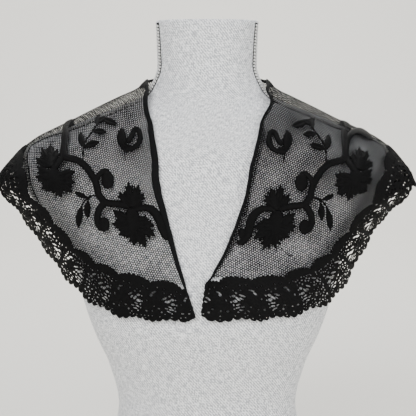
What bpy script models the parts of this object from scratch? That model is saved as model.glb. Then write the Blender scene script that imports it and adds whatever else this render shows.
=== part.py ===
# Lace collar laid over a limbless dress form.
# The tables are in millimetres. A drop is measured down from the root of the form's neck, and a
# turn in degrees round the form: 0 is its right side, 90 the front, -90 the back, 180 the left.
import math

import bmesh
import bpy
import numpy as np
from mathutils import Vector
from mathutils.geometry import delaunay_2d_cdt

for thing in list(bpy.data.objects):
    bpy.data.objects.remove(thing)

mm = 0.001
root_height = 470.0

finishes = {
    # name: colour, roughness
    "linen": ((0.62, 0.64, 0.66, 1), 0.9),
    "seam thread": ((0.72, 0.72, 0.7, 1), 0.8),
    "black net": ((0.03, 0.03, 0.032, 1), 0.8),
    "black lace": ((0.012, 0.012, 0.013, 1), 0.6),
    "black binding": ((0.01, 0.01, 0.011, 1), 0.7),
    "black embroidery": ((0.012, 0.012, 0.013, 1), 0.5),
}
finish_of = {
    # start of a piece's name: finish
    "form": "linen",
    "seam": "seam thread",
    "net": "black net",
    "lace": "black lace",
    "edge": "black binding",
    "vine": "black embroidery",
    "flower": "black embroidery",
    "sprig": "black embroidery",
}

form_sections = np.array([
    # drop, left, right, front, back, roundness
    (-78, 57, 57, 57, 54, 2.0),
    (-60, 56, 56, 56, 53, 2.0),
    (-45, 55.5, 55.5, 55, 52, 2.0),
    (-28, 55, 55, 55, 52, 2.0),
    (-19, 57, 57, 56, 53.5, 2.0),
    (-9, 61.5, 61.5, 58, 56, 2.0),
    (0, 67, 67, 61, 60, 2.0),
    (8, 76, 76, 64, 65, 2.0),
    (18, 100, 100, 68, 71, 2.0),
    (30, 131, 131, 72, 77, 2.0),
    (42, 158, 158, 76, 82, 2.0),
    (52, 183, 182, 78.5, 85.5, 2.05),
    (62, 199, 198, 81.5, 89, 2.15),
    (76, 206, 206, 85.5, 93, 2.25),
    (92, 206, 206, 89.5, 97, 2.3),
    (108, 201, 201, 93.5, 98.5, 2.3),
    (124, 190, 190, 96.5, 100, 2.3),
    (145, 172, 172, 101, 100, 2.3),
    (171, 156, 156, 107, 98, 2.3),
    (197, 147, 147, 111.5, 94.5, 2.3),
    (221, 141, 141, 114, 90, 2.3),
    (245, 134, 134, 113, 85, 2.3),
    (270, 125, 125, 105, 79, 2.3),
    (305, 110, 110, 92, 72, 2.2),
    (350, 100, 100, 80, 66, 2.2),
    (400, 112, 112, 84, 76, 2.25),
    (440, 127, 127, 92, 90, 2.3),
    (470, 134, 134, 96, 96, 2.3),
], float)

collar_sections = np.array([
    # drop, left, right, front, back, roundness
    (-24, 60, 60, 60, 56, 2.0),
    (-13, 66, 66, 65, 61, 2.0),
    (-3, 78, 77, 69, 65, 2.0),
    (6, 98, 95, 72, 70, 2.0),
    (18, 123, 120, 75, 76, 2.0),
    (30, 147, 144, 78, 82, 2.0),
    (40, 168, 166, 80.5, 86, 2.05),
    (50, 188, 187, 83, 89, 2.1),
    (62, 204, 203, 86, 92, 2.2),
    (76, 217, 215, 90, 96, 2.3),
    (92, 229, 226, 94, 100, 2.4),
    (104, 232, 228, 97, 101.5, 2.4),
    (113, 226, 222, 99, 102.5, 2.4),
    (124, 215, 210, 101, 103, 2.4),
    (136, 205, 197, 103, 103.5, 2.4),
    (150, 195, 186, 106, 103, 2.35),
    (165, 184, 177, 109, 101.5, 2.35),
    (180, 173, 169, 112, 100, 2.35),
    (197, 162, 160, 115, 97.5, 2.35),
    (214, 152, 152, 117, 94.5, 2.35),
    (240, 141, 142, 118, 90, 2.35),
], float)

# Ribs run over the cloth from the neck and front edge, past the line where the edging starts
# (the heading), to the hem. Each has the turn and the drop of those three places.
front_left_ribs = [
    # edge turn, edge drop, heading turn, heading drop, hem turn, hem drop
    (12, -9.5, 11, 64, 8, 104),
    (26.6, -7, 21.4, 70, 14.5, 106),
    (48.1, 5, 34, 87, 16, 119),
    (62.4, 23, 38.2, 106, 14.5, 134),
    (72, 44, 40, 121, 13.5, 151),
    (78.1, 70, 42, 138, 13.5, 170),
    (81, 101, 44.5, 158, 17, 192),
    (81.7, 132, 50, 172, 28, 213),
    (82, 152, 57, 182, 43.3, 228),
    (82.8, 175, 65, 188, 57.8, 235),
    (83.6, 189, 74.3, 193, 69.7, 236),
    (84.3, 200, 81.6, 197, 79.5, 237),
    (84.6, 203, 84.6, 203, 87.4, 236),
]
front_right_ribs = [
    # edge turn, edge drop, heading turn, heading drop, hem turn, hem drop
    (14, -9.5, 13, 64, 8, 103),
    (32, -4, 25, 70, 13.5, 104),
    (47.7, 9, 36, 86, 15, 117),
    (62.7, 24, 41.5, 106, 14, 127),
    (70.6, 39, 41.5, 126, 13, 141),
    (77.5, 62, 41.5, 143, 13, 158),
    (81.9, 91, 43.5, 157, 14, 180),
    (83.1, 120, 47.5, 169, 17, 203),
    (84.2, 145, 53, 178, 27, 221),
    (86, 166, 61, 185, 43.6, 229),
    (88.1, 182, 71.3, 190, 61, 235),
    (89.2, 191, 85.5, 190, 79, 236),
    (90.3, 196, 90.3, 196, 91.8, 235),
]
back_ribs = [
    # edge turn, edge drop, heading turn, heading drop, hem turn, hem drop
    (0, -10, 0, 61, 0, 104),
    (14, -11.5, 12, 64, 8, 104),
    (27, -13, 22, 71, 14.5, 106),
    (38, -14, 33, 87, 17, 121),
    (48, -15, 40, 106, 17, 140),
    (57, -16, 45, 125, 21, 162),
    (65, -16.7, 51, 147, 32, 188),
    (73, -17.3, 60, 162, 47, 204),
    (81, -17.8, 73, 170, 66, 213),
    (90, -18, 90, 173, 90, 217),
]

net_lifts = (0.0, 1.0)
laid_lifts = (1.7, 2.7)
edging_lifts = (1.5, 2.7)
edging_overlap = 4.0
stem_width = 5.5
hook_width = 4.2
tail_width = 4.6
leaf_stem_width = 3.6
petal_notch = 0.8
crown_notch = 0.75
waist_half = 4.5
waist_rise = 6.0
dome_radius = 17.0
dome_rise = 1.0
repeat_length = 36.6

# Embroidery of one front quarter, as distance from the middle and drop. The right front is
# shifted a little, and the back repeats the left front.
shoulder_stem_line = [(154, 38.5), (153.3, 42), (152.8, 47), (152.8, 53)]
stem_line = [(152.8, 53), (153, 61), (150.5, 68.5), (137, 71.9), (128, 78), (121, 87), (115.8, 97),
             (113.5, 106.5), (106.5, 114), (96, 115.5)]
# Each hook leaves the stem and curls over to end in a rounded bud.
hook_lines = [
    [(115, 101), (116.5, 93.5), (114, 87), (108.5, 82.4), (103.5, 84)],
    [(106.5, 114), (112.4, 120.5), (115.2, 129.5), (114, 137.5), (110, 142)],
]
buds = [
    # centre distance, centre drop, half width, half height
    (102.5, 91, 5.4, 8.2),
    (107.5, 140, 5.4, 6.8),
]
leaf_stems = [
    ((113.5, 107), (122, 108.5)),
    ((121.5, 108), (128.7, 113.5)),
    ((128, 112.5), (132.5, 121)),
    ((131, 77), (131.3, 57)),
    ((131.3, 58.5), (124, 44.5)),
    ((124.5, 45.5), (116.5, 33)),
]
leaves = [
    # base distance, base drop, tip distance, tip drop, width
    (125, 109.5, 137.5, 104.8, 5.5),
    (125, 111, 124.8, 131, 5.8),
    (132.5, 119.5, 134, 135, 6.5),
    (131, 58, 135, 43.5, 7.5),
    (131, 58, 114, 52.2, 6.5),
    (121.5, 41.5, 107.5, 42, 6.0),
    (117.5, 36, 116, 24.5, 5.5),
    (117, 33.5, 96, 33.5, 6.5),
]
inner_sprig_stem = ((86.5, 70), (88, 54))
inner_sprig_leaves = [
    (88.5, 58, 90, 38, 8.5),
    (89, 57, 73, 48.5, 7.5),
    (74, 53, 74, 37.5, 6.5),
]
tails = {
    "left": [(68, 119.8), (61.5, 119.6), (55.3, 123.5), (50, 131.5), (47.8, 140), (47, 146)],
    "right": [(68, 118), (62, 118.6), (55.7, 123.3), (51.3, 131), (48.8, 140), (44.5, 148.5)],
}
flowers = {
    # the middle of the petals and their points in order, then the points of the crown in order
    "upper": {
        "middle": (161, 92),
        "petals": [(181, 80), (179, 90), (174, 101.5), (168.5, 105), (162.5, 106), (153.5, 110.5),
                   (142, 104.5), (139.5, 95.5), (140, 85)],
        "crown": [(161.5, 70), (161, 62), (168.5, 57), (177.5, 60.5), (182, 72)],
    },
    "lower": {
        "middle": (77, 137),
        "petals": [(97, 123), (98.5, 136), (92, 148), (85, 152), (76, 158.5), (64, 160),
                   (54.5, 148.5), (54.8, 137.5), (61, 131)],
        "crown": [(67.5, 112), (65, 103.5), (71, 96), (82.3, 93.5), (91.5, 104)],
    },
}


def slopes_of(xs, ys):
    steps = np.diff(xs)
    rates = np.diff(ys) / steps
    slopes = np.zeros(len(xs))
    slopes[0] = rates[0]
    slopes[-1] = rates[-1]
    for i in range(1, len(xs) - 1):
        if rates[i - 1] * rates[i] > 0:
            first = 2 * steps[i] + steps[i - 1]
            second = steps[i] + 2 * steps[i - 1]
            slopes[i] = (first + second) / (first / rates[i - 1] + second / rates[i])
    return slopes


def reader(xs, table):
    """Give a function that reads smooth values for every column of a table."""
    xs = np.asarray(xs, float)
    table = np.asarray(table, float)
    slopes = np.array([slopes_of(xs, table[:, k]) for k in range(table.shape[1])]).T

    def read(x):
        x = min(max(x, xs[0]), xs[-1])
        i = min(max(int(np.searchsorted(xs, x)) - 1, 0), len(xs) - 2)
        step = xs[i + 1] - xs[i]
        t = (x - xs[i]) / step
        start = table[i] * (2 * t**3 - 3 * t**2 + 1) + step * slopes[i] * (t**3 - 2 * t**2 + t)
        end = table[i + 1] * (3 * t**2 - 2 * t**3) + step * slopes[i + 1] * (t**3 - t**2)
        return start + end

    return read


read_form = reader(form_sections[:, 0], form_sections[:, 1:])
read_collar = reader(collar_sections[:, 0], collar_sections[:, 1:])


def level(read, x, y, drop):
    left, right, front, back, roundness = read(drop)
    across = abs(x) / (left if x < 0 else right)
    deep = abs(y) / (front if y < 0 else back)
    return across**roundness + deep**roundness


def outward(read, x, y, drop):
    d = 0.5
    gx = level(read, x + d, y, drop) - level(read, x - d, y, drop)
    gy = level(read, x, y + d, drop) - level(read, x, y - d, drop)
    gz = level(read, x, y, drop - d) - level(read, x, y, drop + d)
    return Vector((gx, gy, gz)).normalized()


def lifted(read, x, y, drop, lift):
    away = outward(read, x, y, drop)
    return Vector((x, y, root_height - drop)) + away * lift


def at_turn(read, turn, drop, lift):
    left, right, front, back, roundness = read(drop)
    c = math.cos(math.radians(turn))
    s = math.sin(math.radians(turn))
    x = (right if c >= 0 else -left) * abs(c) ** (2 / roundness)
    y = (-front if s >= 0 else back) * abs(s) ** (2 / roundness)
    return lifted(read, x, y, drop, lift)


def seen_at(x, drop, behind, lift):
    """Find the collar at a distance from the middle, as seen from the front or from behind."""
    left, right, front, back, roundness = read_collar(drop)
    across = min((abs(x) / (left if x < 0 else right)) ** roundness, 1.0)
    y = (back if behind else -front) * (1 - across) ** (1 / roundness)
    return lifted(read_collar, x, y, drop, lift)


def finish(name):
    kind = finish_of[name.split("_")[0]]
    if kind in bpy.data.materials:
        return bpy.data.materials[kind]
    colour, roughness = finishes[kind]
    material = bpy.data.materials.new(kind)
    material.use_nodes = True
    shader = material.node_tree.nodes["Principled BSDF"]
    shader.inputs["Base Color"].default_value = colour
    shader.inputs["Roughness"].default_value = roughness
    shader.inputs["Metallic"].default_value = 0
    return material


def make(name, points, faces):
    mesh = bpy.data.meshes.new(name)
    mesh.from_pydata([Vector(p) * mm for p in points], [], faces)
    shape = bmesh.new()
    shape.from_mesh(mesh)
    bmesh.ops.recalc_face_normals(shape, faces=shape.faces)
    if shape.calc_volume(signed=True) < 0:
        bmesh.ops.reverse_faces(shape, faces=shape.faces)
    shape.to_mesh(mesh)
    shape.free()
    mesh.shade_smooth()
    mesh.set_sharp_from_angle(angle=math.radians(35))
    mesh.materials.append(finish(name))
    piece = bpy.data.objects.new(name, mesh)
    bpy.context.scene.collection.objects.link(piece)
    return piece


def make_plate(name, spots, faces, low_point, high_point):
    """Close two skins over the same spots, with walls along every open side."""
    count = len(spots)
    points = [high_point(s) for s in spots] + [low_point(s) for s in spots]
    sides = {}
    for face in faces:
        for a, b in zip(face, face[1:] + face[:1]):
            sides[(a, b)] = True
    solid = [tuple(face) for face in faces]
    solid += [tuple(count + i for i in reversed(face)) for face in faces]
    for a, b in sides:
        if (b, a) not in sides:
            solid.append((b, a, count + a, count + b))
    return make(name, points, solid)


def smooth_line(line, step):
    """Round a line of places and set it out again in steps of about one length."""
    line = [np.array(p, float) for p in line]
    line = [2 * line[0] - line[1]] + line + [2 * line[-1] - line[-2]]
    dense = []
    for a, b, c, d in zip(line, line[1:], line[2:], line[3:]):
        for t in np.arange(0, 1, 0.1):
            dense.append(0.5 * (2 * b + (c - a) * t + (2 * a - 5 * b + 4 * c - d) * t**2
                                + (3 * b - a - 3 * c + d) * t**3))
    dense.append(line[-2])
    dense = np.array(dense)
    lengths = np.concatenate([[0], np.cumsum(np.linalg.norm(np.diff(dense, axis=0), axis=1))])
    count = max(2, round(lengths[-1] / step) + 1)
    marks = np.linspace(0, lengths[-1], count)
    return np.array([np.interp(marks, lengths, dense[:, k]) for k in range(dense.shape[1])]).T


# Dress form: rings from the neck's flat top down to the flat base.
def make_form():
    around = 32
    drops = [-78, -60, -44, -32, -24, -17, -11, -5, 0, 5, 11, 19, 29, 40, 50, 58, 66, 78, 92,
             106, 122, 143, 168, 197, 225, 248, 272, 302, 330, 352, 378, 410, 442, 470]
    points = []
    for drop in drops:
        for i in range(around):
            left, right, front, back, roundness = read_form(drop)
            c = math.cos(2 * math.pi * i / around)
            s = math.sin(2 * math.pi * i / around)
            x = right * math.copysign(abs(c) ** (2 / roundness), c)
            y = -(front if s >= 0 else back) * math.copysign(abs(s) ** (2 / roundness), s)
            points.append((x, y, root_height - drop))
    faces = [tuple(range(around)), tuple(range(len(points) - around, len(points)))]
    for r in range(len(drops) - 1):
        for i in range(around):
            j = (i + 1) % around
            a = r * around
            faces.append((a + i, a + j, a + around + j, a + around + i))
    make("form_body", points, faces)


# Seam cord: down the neck, out along the shoulder and round the armhole.
seam_line = [
    # turn, drop
    (19, -75), (20.5, -55), (21.5, -36), (21.5, -22), (21, -10), (21, 0), (22.5, 10), (24, 20),
    (23, 30), (19, 39), (14, 45), (9, 50), (7, 56), (9, 62), (13, 68), (17, 77), (19.5, 90),
    (20, 106), (18, 122), (12, 135), (0, 141),
    (-12, 135), (-18, 122), (-20, 106), (-19, 90), (-16, 77), (-10.5, 70),
]
seam_section = [(-3.4, 0.8), (-2.4, 2.1), (0, 2.6), (2.4, 2.1), (3.4, 0.8)]


def make_seam(name, side):
    line = smooth_line([(turn * 1.5, drop) for turn, drop in seam_line], 11)
    centres = []
    for turn, drop in line:
        turn = turn / 1.5 if side > 0 else 180 - turn / 1.5
        base = at_turn(read_form, turn, drop, 0)
        centres.append(base)
    points = []
    faces = []
    for i, base in enumerate(centres):
        along = (centres[min(i + 1, len(centres) - 1)] - centres[max(i - 1, 0)]).normalized()
        away = outward(read_form, base.x, base.y, root_height - base.z)
        aside = away.cross(along).normalized()
        for offset, lift in seam_section:
            spot = base + aside * offset
            near = on_form(spot)
            points.append(near + outward(read_form, near.x, near.y, root_height - near.z) * lift)
    ring = len(seam_section)
    faces.append(tuple(range(ring)))
    faces.append(tuple(range(len(points) - ring, len(points))))
    for i in range(len(centres) - 1):
        for k in range(ring):
            n = (k + 1) % ring
            a = i * ring
            faces.append((a + k, a + n, a + ring + n, a + ring + k))
    make(name, points, faces)


def on_form(spot):
    """Bring a place near the form onto its skin along the skin's own direction."""
    for _ in range(6):
        drop = root_height - spot.z
        away = outward(read_form, spot.x, spot.y, drop)
        here = level(read_form, spot.x, spot.y, drop) - 1
        ahead = spot + away * 0.5
        there = level(read_form, ahead.x, ahead.y, root_height - ahead.z) - 1
        if abs(there - here) < 1e-9:
            break
        spot = spot - away * (here * 0.5 / (there - here))
    return spot


# The collar's own places: a station along the ribs and a reach from edge (0) past heading (1)
# to hem (2).
def all_ribs():
    ribs = []
    for turn, drop, turn_2, drop_2, turn_3, drop_3 in reversed(front_right_ribs):
        ribs.append((turn, drop, turn_2, drop_2, turn_3, drop_3))
    for turn, drop, turn_2, drop_2, turn_3, drop_3 in back_ribs:
        ribs.append((-turn, drop, -turn_2, drop_2, -turn_3, drop_3))
    for turn, drop, turn_2, drop_2, turn_3, drop_3 in reversed(back_ribs[:-1]):
        ribs.append((turn - 180, drop, turn_2 - 180, drop_2, turn_3 - 180, drop_3))
    for turn, drop, turn_2, drop_2, turn_3, drop_3 in front_left_ribs:
        ribs.append((-180 - turn, drop, -180 - turn_2, drop_2, -180 - turn_3, drop_3))
    return np.array(ribs, float)


ribs = all_ribs()
read_rib = reader(np.arange(len(ribs)), ribs)


def on_collar(station, reach, lift):
    edge_turn, edge_drop, head_turn, head_drop, hem_turn, hem_drop = read_rib(station)
    if reach <= 1:
        turn = edge_turn + (head_turn - edge_turn) * reach
        drop = edge_drop + (head_drop - edge_drop) * reach
    else:
        turn = head_turn + (hem_turn - head_turn) * (reach - 1)
        drop = head_drop + (hem_drop - head_drop) * (reach - 1)
    return at_turn(read_collar, turn, drop, lift)


def even_stations(first, last, reach, count):
    dense = np.linspace(first, last, 500)
    places = [on_collar(s, reach, 0) for s in dense]
    steps = [(b - a).length for a, b in zip(places, places[1:])]
    lengths = np.concatenate([[0], np.cumsum(steps)])
    return np.interp(np.linspace(0, lengths[-1], count), lengths, dense), lengths[-1]


def rib_width(station, start):
    return (on_collar(station, start + 1, 0) - on_collar(station, start, 0)).length


last_rib = len(ribs) - 1
net_stations = even_stations(1, last_rib - 1, 1, 72)[0]


def make_net():
    stations = net_stations
    reaches = (0, 0.07, 0.16, 0.28, 0.42, 0.56, 0.7, 0.83, 0.94)
    spots = []
    faces = []
    for s in stations:
        for reach in reaches:
            spots.append((s, reach))
        spots.append((s, 1.0 + 0.5 / rib_width(s, 1)))
    rows = len(reaches) + 1
    for i in range(len(stations) - 1):
        for k in range(rows - 1):
            a = i * rows + k
            faces.append((a, a + 1, a + rows + 1, a + rows))
    make_plate("net_ground", spots, faces,
               lambda p: on_collar(p[0], p[1], net_lifts[0]),
               lambda p: on_collar(p[0], p[1], net_lifts[1]))


# Edging: one length from front end to front end. Each repeat has a scalloped hem, a lobed
# heading and an open oval with a bar across it. The left front ends a third into a repeat.
opening_reach = 1.44
least_column = 0.08
columns_a_repeat = 50
edging_columns = [
    # place in the repeat, heading lobe, half height of the opening, hem scallop, open after it
    (0.00, -2.5, 4.5, -3.5, False),
    (0.16, 0.5, 4.0, -1.0, False),
    (0.34, 2.0, 3.0, 0.7, False),
    (0.50, 2.5, 2.6, 1.2, True),
    (0.66, 1.8, 6.4, 0.4, False),
    (0.75, 1.2, 6.4, -0.5, True),
    (0.91, -0.8, 2.6, -2.4, False),
]
edging_end = (-1.0, 3.4, -1.5, False)


def make_edging():
    count = even_stations(0, last_rib, 1.5, 2)[1] / repeat_length
    last_mark = round(count * columns_a_repeat)
    marks, length = even_stations(0, last_rib, 1.5, last_mark + 1)
    columns = []
    for r in range(math.ceil(count)):
        columns += [(r + row[0],) + row[1:] for row in edging_columns
                    if r + row[0] < count - least_column]
    columns.append((count,) + edging_end)
    spots = []
    for place, lobe, half, scallop, is_open in columns:
        s = marks[round(place * columns_a_repeat)]
        width = rib_width(s, 1)
        spots.append((s, 1 - (edging_overlap + lobe) / width))
        spots.append((s, opening_reach - half / width))
        spots.append((s, opening_reach + half / width))
        spots.append((s, 2 + scallop / width))
    # The heading lies on the net, and reaches above it are measured on the net's side.
    spots = [(s, reach if reach >= 1 else 1 - (1 - reach) * rib_width(s, 1) / max(rib_width(s, 0), 12))
             for s, reach in spots]
    faces = []
    for i in range(len(columns) - 1):
        for k in range(3):
            if k == 1 and columns[i][4]:
                continue
            a = i * 4 + k
            faces.append((a, a + 1, a + 5, a + 4))
    make_plate("lace_edging", spots, faces,
               lambda p: on_collar(p[0], p[1], edging_lifts[0] + (1.2 if p[1] < 1 else 0)),
               lambda p: on_collar(p[0], p[1], edging_lifts[1] + (1.2 if p[1] < 1 else 0)))
    return count, length


# Binding: a strip folded over the neck and front edge, widest down the left front.
binding_widths = [
    # station as a share of the whole edge, width
    (0.0, 2.5), (0.3, 2.5), (0.42, 3.5), (0.6, 3.5), (0.68, 5.0), (0.86, 5.0), (0.93, 3.0),
    (1.0, 3.0),
]


def make_binding():
    stations = [s for s in net_stations if rib_width(s, 0) > 13]
    shares = [row[0] for row in binding_widths]
    widths = [row[1] for row in binding_widths]
    points = []
    for i, s in enumerate(stations):
        width = np.interp(i / (len(stations) - 1), shares, widths)
        rib = rib_width(s, 0)
        for reach, lift in ((width, 1.5), (width, 2.4), (-1.6, 2.4), (-1.6, -1.7),
                            (width, -1.7), (width, -0.8), (-0.7, -0.8), (-0.7, 1.5)):
            points.append(on_collar(s, reach / rib, lift))
    faces = [tuple(range(8)), tuple(range(len(points) - 8, len(points)))]
    for i in range(len(stations) - 1):
        for k in range(8):
            a = i * 8
            n = (k + 1) % 8
            faces.append((a + k, a + n, a + 8 + n, a + 8 + k))
    make("edge_binding", points, faces)


# Embroidery outlines are flat polygons, joined into one shape and laid on the net.
def counter_clockwise(outline):
    area = sum(a[0] * b[1] - b[0] * a[1] for a, b in zip(outline, outline[1:] + outline[:1]))
    return outline if area > 0 else outline[::-1]


def ribbon(line, width, step=7.0):
    line = smooth_line(line, step)
    sides = []
    for i, p in enumerate(line):
        along = line[min(i + 1, len(line) - 1)] - line[max(i - 1, 0)]
        along = along / np.linalg.norm(along)
        aside = np.array([-along[1], along[0]]) * width / 2
        sides.append((tuple(p + aside), tuple(p - aside)))
    return [counter_clockwise([a[0], a[1], b[1], b[0]]) for a, b in zip(sides, sides[1:])]


def bud(x, drop, across, deep, count=10):
    outline = []
    for i in range(count):
        turn = 2 * math.pi * i / count
        outline.append((x + across * math.cos(turn), drop + deep * math.sin(turn)))
    return counter_clockwise(outline)


def leaf(x, drop, tip_x, tip_drop, width):
    start = np.array([x, drop], float)
    way = np.array([tip_x, tip_drop], float) - start
    aside = np.array([-way[1], way[0]]) / np.linalg.norm(way) * width / 2
    shape = [(0.0, 0.3), (0.35, 0.95), (0.72, 0.9), (1.0, 0.14)]
    outline = [tuple(start + way * t + aside * h) for t, h in shape]
    outline += [tuple(start + way * t - aside * h) for t, h in reversed(shape)]
    return counter_clockwise(outline)


def join_outlines(outlines, extra=()):
    places = []
    loops = []
    for outline in outlines:
        loops.append(list(range(len(places), len(places) + len(outline))))
        places += [Vector(p) for p in outline]
    places += [Vector(p) for p in extra]
    flat = delaunay_2d_cdt(places, [], loops, 1, 0.4, True)
    faces = [list(face) for face, owners in zip(flat[2], flat[5]) if owners]
    used = sorted({i for face in faces for i in face})
    renamed = {old: new for new, old in enumerate(used)}
    return [tuple(flat[0][i]) for i in used], [[renamed[i] for i in face] for face in faces]


def lay(name, outlines, side, behind, extra=(), middle=None):
    shift = (-5.5, 2.5) if side > 0 and not behind else (0.0, 0.0)
    spots, faces = join_outlines(outlines, extra)

    def put(spot, lift):
        return seen_at((spot[0] + shift[0]) * side, spot[1] + shift[1], behind, lift)

    def high(spot):
        lift = laid_lifts[1]
        if middle:
            apart = math.hypot(spot[0] - middle[0], spot[1] - middle[1]) / dome_radius
            lift += dome_rise * max(0.0, 1 - apart**2)
        return put(spot, lift)

    make_plate(name, spots, faces, lambda p: put(p, laid_lifts[0]), high)


def flower_outline(middle, petals, crown):
    """Give a flower's pointed petals and its crown as outlines, and places for the domed middle."""
    middle = np.array(middle, float)
    outline = []
    for tip, following in zip(petals, petals[1:] + petals[:1]):
        notch = (np.array(tip) + np.array(following)) / 2
        outline += [tip, tuple(middle + (notch - middle) * petal_notch)]
    waist = [tuple(middle + (waist_half, -waist_rise)), tuple(middle + (-waist_half, -waist_rise))]
    if crown[0][0] < crown[-1][0]:
        waist.reverse()
    crown_middle = np.mean(crown, axis=0)
    crown_outline = [waist[0]]
    for tip, following in zip(crown, crown[1:]):
        notch = (np.array(tip) + np.array(following)) / 2
        crown_outline += [tip, tuple(crown_middle + (notch - crown_middle) * crown_notch)]
    crown_outline += [crown[-1], waist[1]]
    inner = [tuple(middle + (np.array(tip) - middle) * 0.5) for tip in petals]
    return [counter_clockwise(outline), counter_clockwise(crown_outline)], inner + [tuple(middle)]


def make_embroidery():
    for side, side_name in ((-1, "left"), (1, "right")):
        for behind, face_name in ((False, "front"), (True, "back")):
            place = face_name + "_" + side_name
            outlines = ribbon(shoulder_stem_line, stem_width, 3.5) + ribbon(stem_line, stem_width, 8)
            for line in hook_lines:
                outlines += ribbon(line, hook_width)
            outlines += [bud(*row) for row in buds]
            for start, end in leaf_stems:
                outlines += ribbon((start, end), leaf_stem_width)
            outlines += [leaf(*row) for row in leaves]
            lay("vine_" + place, outlines, side, behind)
            tail = tails["right" if side > 0 and not behind else "left"]
            lay("vine_end_" + place, ribbon(tail, tail_width), side, behind)
            for name, shape in flowers.items():
                outlines, extra = flower_outline(shape["middle"], shape["petals"], shape["crown"])
                lay("flower_" + name + "_" + place, outlines, side, behind, extra, shape["middle"])
            outlines = ribbon(inner_sprig_stem, leaf_stem_width)
            outlines += [leaf(*row) for row in inner_sprig_leaves]
            lay("sprig_" + place, outlines, side, behind)


# The stems meet over the shoulder in a short length across its top.
def make_shoulder_stem(name, side):
    middle = 153.5
    half = stem_width / 2
    points = []
    depths = [-26, -18, -9, 0, 9, 18, 26]
    for depth in depths:
        for offset, lift in ((-half, laid_lifts[0]), (-half, laid_lifts[1]),
                             (half, laid_lifts[1]), (half, laid_lifts[0])):
            points.append(ridge_point((middle + offset) * side, depth, lift))
    faces = [(0, 1, 2, 3), tuple(range(len(points) - 4, len(points)))]
    for i in range(len(depths) - 1):
        for k in range(4):
            a = i * 4
            n = (k + 1) % 4
            faces.append((a + k, a + n, a + 4 + n, a + 4 + k))
    make(name, points, faces)


def ridge_point(x, y, lift):
    """Find the top of the collar at one place seen from above, and stand off it."""
    low = -24.0
    high = 104.0
    for _ in range(40):
        middle = (low + high) / 2
        if level(read_collar, x, y, middle) > 1:
            low = middle
        else:
            high = middle
    return lifted(read_collar, x, y, high, lift)


make_form()
make_seam("seam_cord_right", 1)
make_seam("seam_cord_left", -1)
make_net()
repeats, edging_length = make_edging()
make_binding()
make_embroidery()
make_shoulder_stem("vine_shoulder_right", 1)
make_shoulder_stem("vine_shoulder_left", -1)
print("edging repeats", round(repeats, 1), "edging length", round(edging_length))
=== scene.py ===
# Lace collar on a limbless dress form: the finish of every surface, over the fixed frame.
# Lengths are in millimetres until a mesh is made. A drop is measured down from the root of the
# neck; a turn is in degrees round the form: 0 its right side, 90 the front, -90 the back.
import math

import bpy
import numpy as np
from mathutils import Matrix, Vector
from mathutils.geometry import delaunay_2d_cdt


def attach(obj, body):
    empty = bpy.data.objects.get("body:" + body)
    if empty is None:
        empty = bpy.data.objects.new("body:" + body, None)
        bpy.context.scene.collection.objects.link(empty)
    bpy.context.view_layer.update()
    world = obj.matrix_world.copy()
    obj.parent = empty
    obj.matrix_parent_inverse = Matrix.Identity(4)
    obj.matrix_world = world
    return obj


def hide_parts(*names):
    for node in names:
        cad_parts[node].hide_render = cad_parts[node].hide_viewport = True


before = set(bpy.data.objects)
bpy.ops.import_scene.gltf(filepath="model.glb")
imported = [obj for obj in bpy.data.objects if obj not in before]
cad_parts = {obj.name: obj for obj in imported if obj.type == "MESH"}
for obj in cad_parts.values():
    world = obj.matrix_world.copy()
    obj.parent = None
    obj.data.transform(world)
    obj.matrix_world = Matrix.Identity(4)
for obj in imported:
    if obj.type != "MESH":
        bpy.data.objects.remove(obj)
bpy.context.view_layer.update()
print("frame loaded", len(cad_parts), "nodes")

mm = 0.001
rootHeight = 470.0

# Shapes of the form and the collar, the same as the solids'

formSections = np.array([
    # drop, left, right, front, back, roundness
    (-78, 57, 57, 57, 54, 2.0), (-60, 56, 56, 56, 53, 2.0), (-45, 55.5, 55.5, 55, 52, 2.0),
    (-28, 55, 55, 55, 52, 2.0), (-19, 57, 57, 56, 53.5, 2.0), (-9, 61.5, 61.5, 58, 56, 2.0),
    (0, 67, 67, 61, 60, 2.0), (8, 76, 76, 64, 65, 2.0), (18, 100, 100, 68, 71, 2.0),
    (30, 131, 131, 72, 77, 2.0), (42, 158, 158, 76, 82, 2.0), (52, 183, 182, 78.5, 85.5, 2.05),
    (62, 199, 198, 81.5, 89, 2.15), (76, 206, 206, 85.5, 93, 2.25), (92, 206, 206, 89.5, 97, 2.3),
    (108, 201, 201, 93.5, 98.5, 2.3), (124, 190, 190, 96.5, 100, 2.3),
    (145, 172, 172, 101, 100, 2.3), (171, 156, 156, 107, 98, 2.3),
    (197, 147, 147, 111.5, 94.5, 2.3), (221, 141, 141, 114, 90, 2.3), (245, 134, 134, 113, 85, 2.3),
    (270, 125, 125, 105, 79, 2.3), (305, 110, 110, 92, 72, 2.2), (350, 100, 100, 80, 66, 2.2),
    (400, 112, 112, 84, 76, 2.25), (440, 127, 127, 92, 90, 2.3), (470, 134, 134, 96, 96, 2.3),
], float)

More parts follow.
